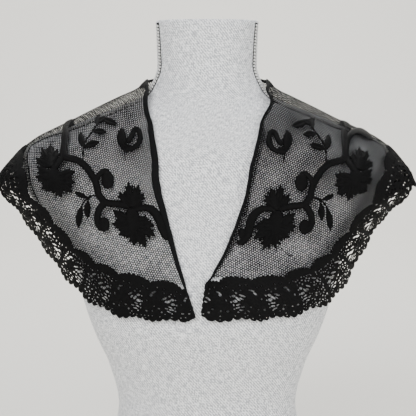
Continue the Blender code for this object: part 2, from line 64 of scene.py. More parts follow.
collarSections = np.array([
    # drop, left, right, front, back, roundness
    (-24, 60, 60, 60, 56, 2.0), (-13, 66, 66, 65, 61, 2.0), (-3, 78, 77, 69, 65, 2.0),
    (6, 98, 95, 72, 70, 2.0), (18, 123, 120, 75, 76, 2.0), (30, 147, 144, 78, 82, 2.0),
    (40, 168, 166, 80.5, 86, 2.05), (50, 188, 187, 83, 89, 2.1), (62, 204, 203, 86, 92, 2.2),
    (76, 217, 215, 90, 96, 2.3), (92, 229, 226, 94, 100, 2.4), (104, 232, 228, 97, 101.5, 2.4),
    (113, 226, 222, 99, 102.5, 2.4), (124, 215, 210, 101, 103, 2.4),
    (136, 205, 197, 103, 103.5, 2.4), (150, 195, 186, 106, 103, 2.35),
    (165, 184, 177, 109, 101.5, 2.35), (180, 173, 169, 112, 100, 2.35),
    (197, 162, 160, 115, 97.5, 2.35), (214, 152, 152, 117, 94.5, 2.35),
    (240, 141, 142, 118, 90, 2.35),
], float)

# Ribs run over the cloth from the neck and front edge, past the heading of the lace, to the hem
frontLeftRibs = [
    # edge turn, edge drop, heading turn, heading drop, hem turn, hem drop
    (12, -9.5, 11, 64, 8, 104), (26.6, -7, 21.4, 70, 14.5, 106), (48.1, 5, 34, 87, 16, 119),
    (62.4, 23, 38.2, 106, 14.5, 134), (72, 44, 40, 121, 13.5, 151), (78.1, 70, 42, 138, 13.5, 170),
    (81, 101, 44.5, 158, 17, 192), (81.7, 132, 50, 172, 28, 213), (82, 152, 57, 182, 43.3, 228),
    (82.8, 175, 65, 188, 57.8, 235), (83.6, 189, 74.3, 193, 69.7, 236),
    (84.3, 200, 81.6, 197, 79.5, 237), (84.6, 203, 84.6, 203, 87.4, 236),
]
frontRightRibs = [
    # edge turn, edge drop, heading turn, heading drop, hem turn, hem drop
    (14, -9.5, 13, 64, 8, 103), (32, -4, 25, 70, 13.5, 104), (47.7, 9, 36, 86, 15, 117),
    (62.7, 24, 41.5, 106, 14, 127), (70.6, 39, 41.5, 126, 13, 141), (77.5, 62, 41.5, 143, 13, 158),
    (81.9, 91, 43.5, 157, 14, 180), (83.1, 120, 47.5, 169, 17, 203), (84.2, 145, 53, 178, 27, 221),
    (86, 166, 61, 185, 43.6, 229), (88.1, 182, 71.3, 190, 61, 235), (89.2, 191, 85.5, 190, 79, 236),
    (90.3, 196, 90.3, 196, 91.8, 235),
]
backRibs = [
    # edge turn, edge drop, heading turn, heading drop, hem turn, hem drop
    (0, -10, 0, 61, 0, 104), (14, -11.5, 12, 64, 8, 104), (27, -13, 22, 71, 14.5, 106),
    (38, -14, 33, 87, 17, 121), (48, -15, 40, 106, 17, 140), (57, -16, 45, 125, 21, 162),
    (65, -16.7, 51, 147, 32, 188), (73, -17.3, 60, 162, 47, 204), (81, -17.8, 73, 170, 66, 213),
    (90, -18, 90, 173, 90, 217),
]

# Soft folds in the net, as low rolls between two places of the front
netFolds = [
    # side, from distance, from drop, to distance, to drop, width, height
    (1, 50, 64, 37, 118, 4.5, 2.6),
    (1, 62, 84, 52, 128, 6.0, 1.4),
    (-1, 66, 60, 52, 110, 6.0, 1.2),
    (-1, 150, 60, 128, 118, 8.0, 1.3),
    (1, 146, 70, 124, 122, 8.0, 1.3),
]


def slopesOf(xs, table):
    steps = np.diff(xs)[:, None]
    rates = np.diff(table, axis=0) / steps
    slopes = np.zeros_like(table)
    slopes[0] = rates[0]
    slopes[-1] = rates[-1]
    before = rates[:-1]
    after = rates[1:]
    first = 2 * steps[1:] + steps[:-1]
    second = steps[1:] + 2 * steps[:-1]
    rising = before * after > 0
    safeBefore = np.where(rising, before, 1)
    safeAfter = np.where(rising, after, 1)
    slopes[1:-1] = np.where(rising, (first + second) / (first / safeBefore + second / safeAfter), 0)
    return slopes


def makeReader(xs, table):
    xs = np.asarray(xs, float)
    table = np.asarray(table, float)
    slopes = slopesOf(xs, table)

    def read(x):
        x = np.clip(np.asarray(x, float), xs[0], xs[-1])
        i = np.clip(np.searchsorted(xs, x) - 1, 0, len(xs) - 2)
        step = xs[i + 1] - xs[i]
        t = ((x - xs[i]) / step)[..., None]
        step = step[..., None]
        start = table[i] * (2 * t**3 - 3 * t**2 + 1) + step * slopes[i] * (t**3 - 2 * t**2 + t)
        end = table[i + 1] * (3 * t**2 - 2 * t**3) + step * slopes[i + 1] * (t**3 - t**2)
        return start + end

    return read


readForm = makeReader(formSections[:, 0], formSections[:, 1:])
readCollar = makeReader(collarSections[:, 0], collarSections[:, 1:])


def levelAt(read, x, y, drop):
    left, right, front, back, roundness = np.moveaxis(read(drop), -1, 0)
    across = np.abs(x) / np.where(x < 0, left, right)
    deep = np.abs(y) / np.where(y < 0, front, back)
    return across**roundness + deep**roundness


def outwardAt(read, x, y, drop):
    d = 0.5
    gx = levelAt(read, x + d, y, drop) - levelAt(read, x - d, y, drop)
    gy = levelAt(read, x, y + d, drop) - levelAt(read, x, y - d, drop)
    gz = levelAt(read, x, y, drop - d) - levelAt(read, x, y, drop + d)
    away = np.stack([gx, gy, gz], -1)
    return away / np.linalg.norm(away, axis=-1, keepdims=True)


def foldLift(x, y, drop):
    lift = np.zeros(np.shape(x))
    for side, x1, drop1, x2, drop2, width, height in netFolds:
        way = np.array([x2 - x1, drop2 - drop1], float)
        length = np.linalg.norm(way)
        way = way / length
        across = np.abs(x) - x1
        down = drop - drop1
        along = (across * way[0] + down * way[1]) / length
        apart = across * way[1] - down * way[0]
        ends = np.clip(1 - (2 * along - 1) ** 4, 0, 1) * (along > 0) * (along < 1)
        here = (np.sign(x) == side) & (y < 0)
        lift = lift + here * height * ends * np.exp(-((apart / width) ** 2))
    return lift


def lifted(read, x, y, drop, lift):
    x, y, drop, lift = np.broadcast_arrays(*[np.asarray(v, float) for v in (x, y, drop, lift)])
    if read is readCollar:
        lift = lift + foldLift(x, y, drop)
    place = np.stack([x, y, rootHeight - drop], -1)
    return place + outwardAt(read, x, y, drop) * lift[..., None]


def atTurn(read, turn, drop, lift):
    turn, drop, lift = np.broadcast_arrays(*[np.asarray(v, float) for v in (turn, drop, lift)])
    left, right, front, back, roundness = np.moveaxis(read(drop), -1, 0)
    c = np.cos(np.radians(turn))
    s = np.sin(np.radians(turn))
    x = np.where(c >= 0, right, -left) * np.abs(c) ** (2 / roundness)
    y = np.where(s >= 0, -front, back) * np.abs(s) ** (2 / roundness)
    return lifted(read, x, y, drop, lift)


def seenAt(x, drop, behind, lift):
    # the collar at a distance from the middle, as seen from the front or from behind
    x, drop, lift = np.broadcast_arrays(*[np.asarray(v, float) for v in (x, drop, lift)])
    left, right, front, back, roundness = np.moveaxis(readCollar(drop), -1, 0)
    across = np.minimum((np.abs(x) / np.where(x < 0, left, right)) ** roundness, 1.0)
    y = (back if behind else -front) * (1 - across) ** (1 / roundness)
    return lifted(readCollar, x, y, drop, lift)


def allRibs():
    rows = frontRightRibs[::-1]
    rows += [(-a, b, -c, d, -e, f) for a, b, c, d, e, f in backRibs]
    rows += [(a - 180, b, c - 180, d, e - 180, f) for a, b, c, d, e, f in reversed(backRibs[:-1])]
    rows += [(-180 - a, b, -180 - c, d, -180 - e, f) for a, b, c, d, e, f in frontLeftRibs]
    return np.array(rows, float)


ribs = allRibs()
lastRib = len(ribs) - 1
readRib = makeReader(np.arange(len(ribs)), ribs)


def onCollar(station, reach, lift):
    station, reach, lift = np.broadcast_arrays(*[np.asarray(v, float) for v in (station, reach, lift)])
    edgeTurn, edgeDrop, headTurn, headDrop, hemTurn, hemDrop = np.moveaxis(readRib(station), -1, 0)
    above = reach <= 1
    turn = np.where(above, edgeTurn + (headTurn - edgeTurn) * reach,
                    headTurn + (hemTurn - headTurn) * (reach - 1))
    drop = np.where(above, edgeDrop + (headDrop - edgeDrop) * reach,
                    headDrop + (hemDrop - headDrop) * (reach - 1))
    return atTurn(readCollar, turn, drop, lift)


def onLace(station, down, lift):
    # the lace edging: down in mm from the heading line, below 0 for the lobes above it
    station, down, lift = np.broadcast_arrays(*[np.asarray(v, float) for v in (station, down, lift)])
    edgeTurn, edgeDrop, headTurn, headDrop, hemTurn, hemDrop = np.moveaxis(readRib(station), -1, 0)
    share = down / laceEdging["depth"]
    return atTurn(readCollar, headTurn + (hemTurn - headTurn) * share,
                  headDrop + (hemDrop - headDrop) * share, lift)


def evenStations(first, last, reach, count):
    dense = np.linspace(first, last, 800)
    places = onCollar(dense, reach, 0)
    steps = np.linalg.norm(np.diff(places, axis=0), axis=1)
    lengths = np.concatenate([[0], np.cumsum(steps)])
    return np.interp(np.linspace(0, lengths[-1], count), lengths, dense), lengths[-1]


def ribWidth(station, start):
    return np.linalg.norm(onCollar(station, start + 1, 0) - onCollar(station, start, 0), axis=-1)


def smoothLine(line, step):
    line = [np.array(p, float) for p in line]
    line = [2 * line[0] - line[1]] + line + [2 * line[-1] - line[-2]]
    dense = []
    for a, b, c, d in zip(line, line[1:], line[2:], line[3:]):
        for t in np.arange(0, 1, 0.1):
            dense.append(0.5 * (2 * b + (c - a) * t + (2 * a - 5 * b + 4 * c - d) * t**2
                                + (3 * b - a - 3 * c + d) * t**3))
    dense.append(line[-2])
    dense = np.array(dense)
    lengths = np.concatenate([[0], np.cumsum(np.linalg.norm(np.diff(dense, axis=0), axis=1))])
    count = max(3, round(lengths[-1] / step) + 1)
    marks = np.linspace(0, lengths[-1], count)
    return np.array([np.interp(marks, lengths, dense[:, k]) for k in range(dense.shape[1])]).T


# Meshes

def makePiece(name, points, faces, patternPlaces, material):
    mesh = bpy.data.meshes.new(name)
    mesh.from_pydata((np.asarray(points) * mm).tolist(), [], faces)
    uvMap = mesh.uv_layers.new(name="Pattern")
    corners = np.empty(len(mesh.loops), np.int32)
    mesh.loops.foreach_get("vertex_index", corners)
    uvMap.data.foreach_set("uv", (np.asarray(patternPlaces, float) * mm)[corners].ravel())
    mesh.materials.append(material)
    piece = bpy.data.objects.new(name, mesh)
    bpy.context.scene.collection.objects.link(piece)
    bpy.ops.object.select_all(action="DESELECT")
    piece.select_set(True)
    bpy.context.view_layer.objects.active = piece
    bpy.ops.object.mode_set(mode="EDIT")
    bpy.ops.mesh.select_all(action="SELECT")
    if not name.startswith("net"):
        bpy.ops.mesh.normals_make_consistent(inside=False)
    bpy.ops.object.mode_set(mode="OBJECT")
    bpy.ops.object.shade_smooth_by_angle(angle=math.radians(55))
    piece.select_set(False)
    return piece


def seat(piece, nodes):
    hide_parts(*nodes)
    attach(piece, "root")
    return piece


def gridFaces(rows, columns, closed=False):
    # quads between rows of points; closed joins each row's last point to its first
    faces = []
    last = columns if closed else columns - 1
    for i in range(rows - 1):
        for k in range(last):
            n = (k + 1) % columns
            faces.append((i * columns + k, i * columns + n, (i + 1) * columns + n, (i + 1) * columns + k))
    return faces


def tubeFaces(rows, columns):
    faces = gridFaces(rows, columns, True)
    faces.append(tuple(range(columns)))
    faces.append(tuple(range((rows - 1) * columns, rows * columns)))
    return faces


# Surface effects shared by several materials

def newGroup(name, inputs, outputs):
    group = bpy.data.node_groups.new(name, "ShaderNodeTree")
    for label, kind, value in inputs:
        socket = group.interface.new_socket(label, in_out="INPUT", socket_type=kind)
        if value is not None:
            socket.default_value = value
    for label, kind in outputs:
        group.interface.new_socket(label, in_out="OUTPUT", socket_type=kind)
    return group, group.nodes.new("NodeGroupInput"), group.nodes.new("NodeGroupOutput")


def mathNode(group, operation, first, second=None, third=None):
    node = group.nodes.new("ShaderNodeMath")
    node.operation = operation
    for i, value in enumerate((first, second, third)):
        if value is None:
            continue
        if isinstance(value, (int, float)):
            node.inputs[i].default_value = value
        else:
            group.links.new(value, node.inputs[i])
    return node.outputs[0]


def vectorNode(group, operation, first, second=None, third=None, output="Vector"):
    node = group.nodes.new("ShaderNodeVectorMath")
    node.operation = operation
    for i, value in enumerate((first, second, third)):
        if value is None:
            continue
        if isinstance(value, tuple):
            node.inputs[i].default_value = value
        else:
            group.links.new(value, node.inputs[i])
    return node.outputs[output]


def buildWeave():
    # plain weave: a chequer of thread crowns, long thick places in both directions, faint diagonals; the
    # crowns are painted lighter and the hollows between threads darker, a painted highlight and painted
    # shade
    group, given, result = newGroup("woven threads", [
        ("Place", "NodeSocketVector", None), ("Pitch", "NodeSocketFloat", 0.0015),
        ("Slub", "NodeSocketFloat", 0.5), ("Diagonal", "NodeSocketFloat", 0.1),
    ], [("Height", "NodeSocketFloat"), ("Shade", "NodeSocketFloat")])
    parts = group.nodes.new("ShaderNodeSeparateXYZ")
    group.links.new(given.outputs["Place"], parts.inputs[0])
    perPitch = mathNode(group, "DIVIDE", math.pi, given.outputs["Pitch"])
    warp = mathNode(group, "SINE", mathNode(group, "MULTIPLY", parts.outputs["X"], perPitch))
    weft = mathNode(group, "SINE", mathNode(group, "MULTIPLY", parts.outputs["Y"], perPitch))
    crowns = mathNode(group, "ABSOLUTE", mathNode(group, "MULTIPLY", warp, weft))
    slubs = []
    for stretch in ((130, 850, 1), (850, 130, 1)):
        spread = vectorNode(group, "MULTIPLY", given.outputs["Place"], stretch)
        noise = group.nodes.new("ShaderNodeTexNoise")
        noise.inputs["Scale"].default_value = 1.0
        noise.inputs["Detail"].default_value = 3.0
        group.links.new(spread, noise.inputs["Vector"])
        slubs.append(noise.outputs["Fac"])
    slub = mathNode(group, "SUBTRACT", mathNode(group, "ADD", slubs[0], slubs[1]), 1.0)
    slub = mathNode(group, "MULTIPLY", slub, given.outputs["Slub"])
    patches = group.nodes.new("ShaderNodeTexNoise")
    patches.inputs["Scale"].default_value = 45.0
    group.links.new(given.outputs["Place"], patches.inputs["Vector"])
    diagonal = mathNode(group, "MULTIPLY", mathNode(group, "ADD", parts.outputs["X"], parts.outputs["Y"]),
                        mathNode(group, "MULTIPLY", perPitch, 0.85))
    diagonal = mathNode(group, "MULTIPLY", mathNode(group, "SINE", diagonal), patches.outputs["Fac"])
    diagonal = mathNode(group, "MULTIPLY", diagonal, given.outputs["Diagonal"])
    height = mathNode(group, "ADD", crowns, slub)
    # painted highlight on the thread crowns and painted shade between them, with the slubs' own tone
    shade = mathNode(group, "ADD", mathNode(group, "MULTIPLY_ADD", crowns, 0.45, 0.55), slub)
    shade = mathNode(group, "ADD", shade, diagonal)
    group.links.new(height, result.inputs["Height"])
    group.links.new(shade, result.inputs["Shade"])
    return group


def buildThread():
    # threads laid side by side across the pattern's first direction; each thread is painted lighter along
    # its crown and darker in the grooves between, a painted sheen and painted shade
    group, given, result = newGroup("laid threads and painted sheen", [
        ("Place", "NodeSocketVector", None), ("Pitch", "NodeSocketFloat", 0.0006),
        ("Slant", "NodeSocketFloat", 0.3), ("Uneven", "NodeSocketFloat", 0.5),
    ], [("Height", "NodeSocketFloat"), ("Shade", "NodeSocketFloat")])
    parts = group.nodes.new("ShaderNodeSeparateXYZ")
    group.links.new(given.outputs["Place"], parts.inputs[0])
    slanted = mathNode(group, "MULTIPLY_ADD", parts.outputs["Y"], given.outputs["Slant"], parts.outputs["X"])
    noise = group.nodes.new("ShaderNodeTexNoise")
    noise.inputs["Scale"].default_value = 420.0
    noise.inputs["Detail"].default_value = 2.0
    group.links.new(given.outputs["Place"], noise.inputs["Vector"])
    wander = mathNode(group, "MULTIPLY", noise.outputs["Fac"], given.outputs["Uneven"])
    turns = mathNode(group, "DIVIDE", slanted, given.outputs["Pitch"])
    turns = mathNode(group, "MULTIPLY_ADD", turns, 2 * math.pi, mathNode(group, "MULTIPLY", wander, 6.0))
    wave = mathNode(group, "MULTIPLY_ADD", mathNode(group, "SINE", turns), 0.5, 0.5)
    worn = mathNode(group, "MULTIPLY", noise.outputs["Fac"], 0.5)
    # painted sheen on the thread crowns and painted shade between them, with random tone from the noise
    shade = mathNode(group, "MULTIPLY_ADD", wave, 0.6, worn)
    group.links.new(wave, result.inputs["Height"])
    group.links.new(shade, result.inputs["Shade"])
    return group


def buildNetMesh():
    # six-sided net: how much thread covers each place
    group, given, result = newGroup("six-sided net", [
        ("Place", "NodeSocketVector", None), ("Pitch", "NodeSocketFloat", 0.002),
        ("Thread", "NodeSocketFloat", 0.0005), ("Uneven", "NodeSocketFloat", 0.4),
        ("Closer", "NodeSocketFloat", 0.0),
    ], [("Cover", "NodeSocketFloat"), ("Height", "NodeSocketFloat")])
    half = (0.5, 0.8660254, 0.0)
    minusHalf = (-0.5, -0.8660254, 0.0)
    inverse = mathNode(group, "DIVIDE", 1.0, given.outputs["Pitch"])
    scaled = group.nodes.new("ShaderNodeVectorMath")
    scaled.operation = "SCALE"
    group.links.new(given.outputs["Place"], scaled.inputs[0])
    group.links.new(inverse, scaled.inputs["Scale"])
    flat = vectorNode(group, "MULTIPLY", scaled.outputs[0], (1.0, 1.0, 0.0))
    even = vectorNode(group, "WRAP", flat, half, minusHalf)
    odd = vectorNode(group, "WRAP", vectorNode(group, "ADD", flat, half), half, minusHalf)
    evenFar = vectorNode(group, "LENGTH", even, output="Value")
    oddFar = vectorNode(group, "LENGTH", odd, output="Value")
    nearer = mathNode(group, "LESS_THAN", oddFar, evenFar)
    pick = group.nodes.new("ShaderNodeMix")
    pick.data_type = "VECTOR"
    group.links.new(nearer, pick.inputs["Factor"])
    group.links.new(even, pick.inputs[4])
    group.links.new(odd, pick.inputs[5])
    folded = vectorNode(group, "ABSOLUTE", pick.outputs[1])
    slope = vectorNode(group, "DOT_PRODUCT", folded, half, output="Value")
    parts = group.nodes.new("ShaderNodeSeparateXYZ")
    group.links.new(folded, parts.inputs[0])
    far = mathNode(group, "MAXIMUM", slope, parts.outputs["X"])
    toEdge = mathNode(group, "SUBTRACT", 0.5, far)
    # Closer thickens the threads; over the shoulder it is partly painted shade
    thick = mathNode(group, "MULTIPLY_ADD", given.outputs["Closer"], 0.5, 0.5)
    for size in (330.0, 38.0):  # single meshes, then wider patches where the net is drawn closer
        noise = group.nodes.new("ShaderNodeTexNoise")
        noise.inputs["Scale"].default_value = size
        group.links.new(given.outputs["Place"], noise.inputs["Vector"])
        change = mathNode(group, "MULTIPLY_ADD", noise.outputs["Fac"], given.outputs["Uneven"], 1.0)
        halfUneven = mathNode(group, "MULTIPLY", given.outputs["Uneven"], 0.5)
        change = mathNode(group, "SUBTRACT", change, halfUneven)
        thick = mathNode(group, "MULTIPLY", change, thick)
    halfThread = mathNode(group, "DIVIDE", mathNode(group, "MULTIPLY", given.outputs["Thread"], thick),
                          given.outputs["Pitch"])
    cover = mathNode(group, "LESS_THAN", toEdge, halfThread)
    height = mathNode(group, "SUBTRACT", 1.0, mathNode(group, "DIVIDE", toEdge, halfThread))
    group.links.new(cover, result.inputs["Cover"])
    group.links.new(height, result.inputs["Height"])
    return group


groups = {"weave": buildWeave(), "thread": buildThread(), "net": buildNetMesh()}


def startMaterial(name, roughness, sheen=0.0, gloss=0.3):
    material = bpy.data.materials.new(name)
    material.use_nodes = True
    tree = material.node_tree
    shader = tree.nodes["Principled BSDF"]
    shader.inputs["Roughness"].default_value = roughness
    shader.inputs["Sheen Weight"].default_value = sheen
    shader.inputs["Specular IOR Level"].default_value = gloss
    place = tree.nodes.new("ShaderNodeUVMap")
    place.uv_map = "Pattern"
    return material, tree, shader, place.outputs["UV"]


def addGroup(tree, group, place, **values):
    node = tree.nodes.new("ShaderNodeGroup")
    node.node_tree = group
    tree.links.new(place, node.inputs["Place"])
    for label, value in values.items():
        node.inputs[label].default_value = value
    return node


def addBump(tree, shader, height, strength, distance):
    bump = tree.nodes.new("ShaderNodeBump")
    bump.inputs["Strength"].default_value = strength
    bump.inputs["Distance"].default_value = distance
    tree.links.new(height, bump.inputs["Height"])
    tree.links.new(bump.outputs["Normal"], shader.inputs["Normal"])


def addRamp(tree, shader, value, dark, light, low=0.0, high=1.0):
    ramp = tree.nodes.new("ShaderNodeValToRGB")
    ramp.color_ramp.elements[0].position = low
    ramp.color_ramp.elements[0].color = dark
    ramp.color_ramp.elements[1].position = high
    ramp.color_ramp.elements[1].color = light
    tree.links.new(value, ramp.inputs["Fac"])
    tree.links.new(ramp.outputs["Color"], shader.inputs["Base Color"])
    return ramp


def turned(tree, place, degrees):
    mapping = tree.nodes.new("ShaderNodeMapping")
    mapping.inputs["Rotation"].default_value = (0, 0, math.radians(degrees))
    tree.links.new(place, mapping.inputs["Vector"])
    return mapping.outputs["Vector"]


def linenMaterial():
    look = {"threadPitch": 0.0015, "slub": 2.6, "diagonal": 0.7, "turn": 5,
            "dark": (0.4, 0.41, 0.43, 1), "light": (1.0, 1.0, 1.0, 1), "roughness": 0.88, "bump": 0.3}
    material, tree, shader, place = startMaterial("grey linen", look["roughness"], 0.1)
    weave = addGroup(tree, groups["weave"], turned(tree, place, look["turn"]), Pitch=look["threadPitch"],
                     Slub=look["slub"], Diagonal=look["diagonal"])
    # the ramp colours the painted crown highlights and shade between threads together with the slubs and
    # diagonals
    addRamp(tree, shader, weave.outputs["Shade"], look["dark"], look["light"], 0.46, 0.98)
    addBump(tree, shader, weave.outputs["Height"], look["bump"], 0.0004)
    return material


def threadMaterial(name, look):
    material, tree, shader, place = startMaterial(name, look["roughness"], look["sheen"], look["gloss"])
    thread = addGroup(tree, groups["thread"], place, Pitch=look["pitch"], Slant=look["slant"],
                      Uneven=look["uneven"])
    # the ramp turns the painted sheen on each thread's crown and the painted shade between threads into
    # colour
    addRamp(tree, shader, thread.outputs["Shade"], look["dark"], look["light"], 0.2, 1.1)
    addBump(tree, shader, thread.outputs["Height"], look["bump"], 0.0003)
    return material


def netMaterial():
    look = {"pitch": 0.0026, "thread": 0.00078, "uneven": 0.9, "turn": 15,
            "colour": (0.004, 0.004, 0.0043, 1), "roughness": 0.8, "gloss": 0.06}
    material, tree, shader, place = startMaterial("black net", look["roughness"], 0.0, look["gloss"])
    net = addGroup(tree, groups["net"], turned(tree, place, look["turn"]), Pitch=look["pitch"],
                   Thread=look["thread"], Uneven=look["uneven"])
    # the closer attribute thickens the threads; over the shoulder that is partly painted shade
    closer = tree.nodes.new("ShaderNodeAttribute")
    closer.attribute_name = "closer"
    tree.links.new(closer.outputs["Fac"], net.inputs["Closer"])
    shader.inputs["Base Color"].default_value = look["colour"]
    tree.links.new(net.outputs["Cover"], shader.inputs["Alpha"])
    addBump(tree, shader, net.outputs["Height"], 0.3, 0.0002)
    return material


materials = {
    "linen": linenMaterial(),
    "net": netMaterial(),
    # each thread look's dark and light colours span the painted shade between threads and the painted sheen
    # on their crowns
    "lace": threadMaterial("black guipure thread", {
        "pitch": 0.0011, "slant": 0.7, "uneven": 0.9, "roughness": 0.65, "sheen": 0.0, "gloss": 0.08,
        "dark": (0.0006, 0.0006, 0.0007, 1), "light": (0.008, 0.0078, 0.0078, 1), "bump": 0.9}),
    "embroidery": threadMaterial("black satin stitch", {
        "pitch": 0.0009, "slant": 0.35, "uneven": 0.35, "roughness": 0.55, "sheen": 0.0, "gloss": 0.08,
        "dark": (0.0005, 0.0005, 0.0006, 1), "light": (0.006, 0.0058, 0.0058, 1), "bump": 0.8}),
    "binding": threadMaterial("black tape", {
        "pitch": 0.0009, "slant": 0.9, "uneven": 0.3, "roughness": 0.7, "sheen": 0.0, "gloss": 0.08,
        "dark": (0.001, 0.001, 0.0011, 1), "light": (0.008, 0.008, 0.0085, 1), "bump": 0.5}),
    "seamTape": threadMaterial("dark seam tape", {
        "pitch": 0.0012, "slant": 0.5, "uneven": 0.4, "roughness": 0.85, "sheen": 0.0, "gloss": 0.1,
        "dark": (0.006, 0.006, 0.007, 1), "light": (0.05, 0.05, 0.052, 1), "bump": 0.5}),
    "seamStitch": threadMaterial("pale seam thread", {
        "pitch": 0.0007, "slant": 0.4, "uneven": 0.3, "roughness": 0.8, "sheen": 0.0, "gloss": 0.2,
        "dark": (0.6, 0.6, 0.58, 1), "light": (0.95, 0.94, 0.91, 1), "bump": 0.4}),
}
print("materials made", len(materials))

# Dress form

formCover = {"around": 128, "ringStep": 4.5, "rimRound": 3.0}


def buildForm():
    turns = np.linspace(0, 360, formCover["around"], endpoint=False)
    top = formSections[0, 0]
    bottom = formSections[-1, 0]
    drops = np.linspace(top + formCover["rimRound"], bottom - formCover["rimRound"],
                        round((bottom - top) / formCover["ringStep"]))
    points = []
    rim = formCover["rimRound"]

    def addRing(drop, shrink, height):
        ring = atTurn(readForm, turns, drop, 0)
        ring[:, :2] *= 1 - shrink / np.linalg.norm(ring[:, :2], axis=1)[:, None]
        ring[:, 2] = rootHeight - height
        points.append(ring)

    for angle in (0, 30, 60):
        c = math.cos(math.radians(angle))
        s = math.sin(math.radians(angle))
        addRing(top + rim, rim * (1 - s), top + rim * (1 - c))
    for drop in drops:
        addRing(drop, 0, drop)
    for angle in (60, 30, 0):
        c = math.cos(math.radians(angle))
        s = math.sin(math.radians(angle))
        addRing(bottom - rim, rim * (1 - s), bottom - rim * (1 - c))
    rings = np.array(points)
    lengths = np.linalg.norm(np.diff(np.concatenate([rings, rings[:, :1]], 1), axis=1), axis=2)
    around = np.concatenate([np.zeros((len(rings), 1)), np.cumsum(lengths[:, :-1], 1)], 1)
    around -= around[:, [formCover["around"] // 4]]
    down = np.concatenate([[0], np.cumsum(np.linalg.norm(np.diff(rings[:, 0], axis=0), axis=1))])
    pattern = np.stack([around, np.broadcast_to(down[:, None], around.shape)], -1).reshape(-1, 2)
    faces = tubeFaces(len(rings), formCover["around"])
    piece = makePiece("formCover", rings.reshape(-1, 3), faces, pattern, materials["linen"])
    # the weave lies flat on the neck's top and on the base
    weavePlaces = piece.data.uv_layers["Pattern"].data
    for cap in (piece.data.polygons[-2], piece.data.polygons[-1]):
        for loop in cap.loop_indices:
            weavePlaces[loop].uv = piece.data.vertices[piece.data.loops[loop].vertex_index].co.xy
    seat(piece, ["form_body"])


buildForm()
print("form covered")

# Whipped seam of the form: a flat dark tape held by two rows of pale stitches

seamCord = {"width": 9.0, "tapeRise": 0.75, "stitchStep": 3.4, "stitchSize": (1.5, 1.35, 1.1),
            "rowApart": 1.95, "tapeStep": 3.0}
seamLine = [
    # turn, drop
    (19, -75), (20.5, -55), (21.5, -36), (21.5, -22), (21, -10), (21, 0), (22.5, 10), (24, 20),
    (23, 30), (19, 39), (14, 45), (9, 50), (7, 56), (9, 62), (13, 68), (17, 77), (19.5, 90),
    (20, 106), (18, 122), (12, 135), (0, 141),
    (-12, 135), (-18, 122), (-20, 106), (-19, 90), (-16, 77), (-10.5, 70),
]


def seamPlaces(side, step):
    # places, directions along, across and away, at even steps along the seam
    turnScale = 1.5
    line = smoothLine([(turn * turnScale, drop) for turn, drop in seamLine], 1.0)
    turns = line[:, 0] / turnScale
    if side < 0:
        turns = 180 - turns
    places = atTurn(readForm, turns, line[:, 1], 0)
    lengths = np.concatenate([[0], np.cumsum(np.linalg.norm(np.diff(places, axis=0), axis=1))])
    marks = np.arange(0, lengths[-1], step)
    places = np.array([np.interp(marks, lengths, places[:, k]) for k in range(3)]).T
    along = np.gradient(places, axis=0)
    along /= np.linalg.norm(along, axis=1)[:, None]
    away = outwardAt(readForm, places[:, 0], places[:, 1], rootHeight - places[:, 2])
    across = np.cross(away, along)
    across /= np.linalg.norm(across, axis=1)[:, None]
    return places, along, across, away, marks


def buildSeam(side, sideName):
    places, along, across, away, marks = seamPlaces(side, seamCord["tapeStep"])
    profile = [(-0.5, 0.1), (-0.45, 0.55), (-0.32, 0.45), (-0.2, 1.0), (0, 1.15), (0.2, 1.0),
               (0.32, 0.45), (0.45, 0.55), (0.5, 0.1)]
    rings = []
    pattern = []
    for offset, rise in profile:
        rings.append(places + across * offset * seamCord["width"] + away * rise * seamCord["tapeRise"])
        pattern.append(np.stack([marks, np.full(len(marks), offset * seamCord["width"])], -1))
    rings = np.stack(rings, 1)
    pattern = np.stack(pattern, 1)
    tape = makePiece("seamTape" + sideName, rings.reshape(-1, 3), tubeFaces(len(marks), len(profile)),
                     pattern.reshape(-1, 2), materials["seamTape"])
    seat(tape, ["seam_cord_" + sideName.lower()])
    # one stitch, modelled once and copied along both rows
    bpy.ops.object.select_all(action="DESELECT")
    bpy.ops.mesh.primitive_uv_sphere_add(segments=8, ring_count=5, radius=1.0)
    stitch = bpy.context.active_object
    shape = np.array([v.co[:] for v in stitch.data.vertices])
    stitchFaces = [tuple(p.vertices) for p in stitch.data.polygons]
    bpy.data.objects.remove(stitch)
    places, along, across, away, marks = seamPlaces(side, seamCord["stitchStep"])
    long, wide, high = seamCord["stitchSize"]
    points = []
    faces = []
    pattern = []
    for i in range(1, len(marks) - 1):
        for row in (-1, 1):
            lean = along[i] + across[i] * 0.35 * row
            lean = lean / np.linalg.norm(lean)
            aside = np.cross(away[i], lean)
            centre = places[i] + across[i] * row * seamCord["rowApart"] + away[i] * 0.85
            centre = centre + along[i] * (0.4 if row > 0 else -0.4)
            faces += [tuple(len(points) * len(shape) + v for v in f) for f in stitchFaces]
            points.append(centre + shape[:, :1] * lean * long + shape[:, 1:2] * aside * wide
                          + shape[:, 2:] * away[i] * high)
            pattern.append(shape[:, :2] * 2 + marks[i])
    stitches = makePiece("seamStitches" + sideName, np.concatenate(points), faces,
                         np.concatenate(pattern), materials["seamStitch"])
    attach(stitches, "root")


for side, sideName in ((1, "Right"), (-1, "Left")):
    buildSeam(side, sideName)
print("seam cords made")

# Net ground, one sheet from front end to front end

# the shoulder value thickens the net's threads over the shoulder, partly as painted shade
netSheet = {"columns": 420, "rows": 90, "lift": 0.5, "pastHeading": 9.0, "hem": 4.2,
            "shoulderCloserAndShade": 1.1, "closerTop": 0.4, "closerRight": 0.2, "coarseColumns": 57,
            "coarseRows": 25, "panelEnds": (1, 13, lastRib - 13, lastRib - 1)}


def netPlaces(stations, rows):
    past = netSheet["pastHeading"] / ribWidth(stations, 1)
    reach = np.linspace(0, 1, rows)[None, :] * (1 + past[:, None])
    return onCollar(stations[:, None], reach, netSheet["lift"])


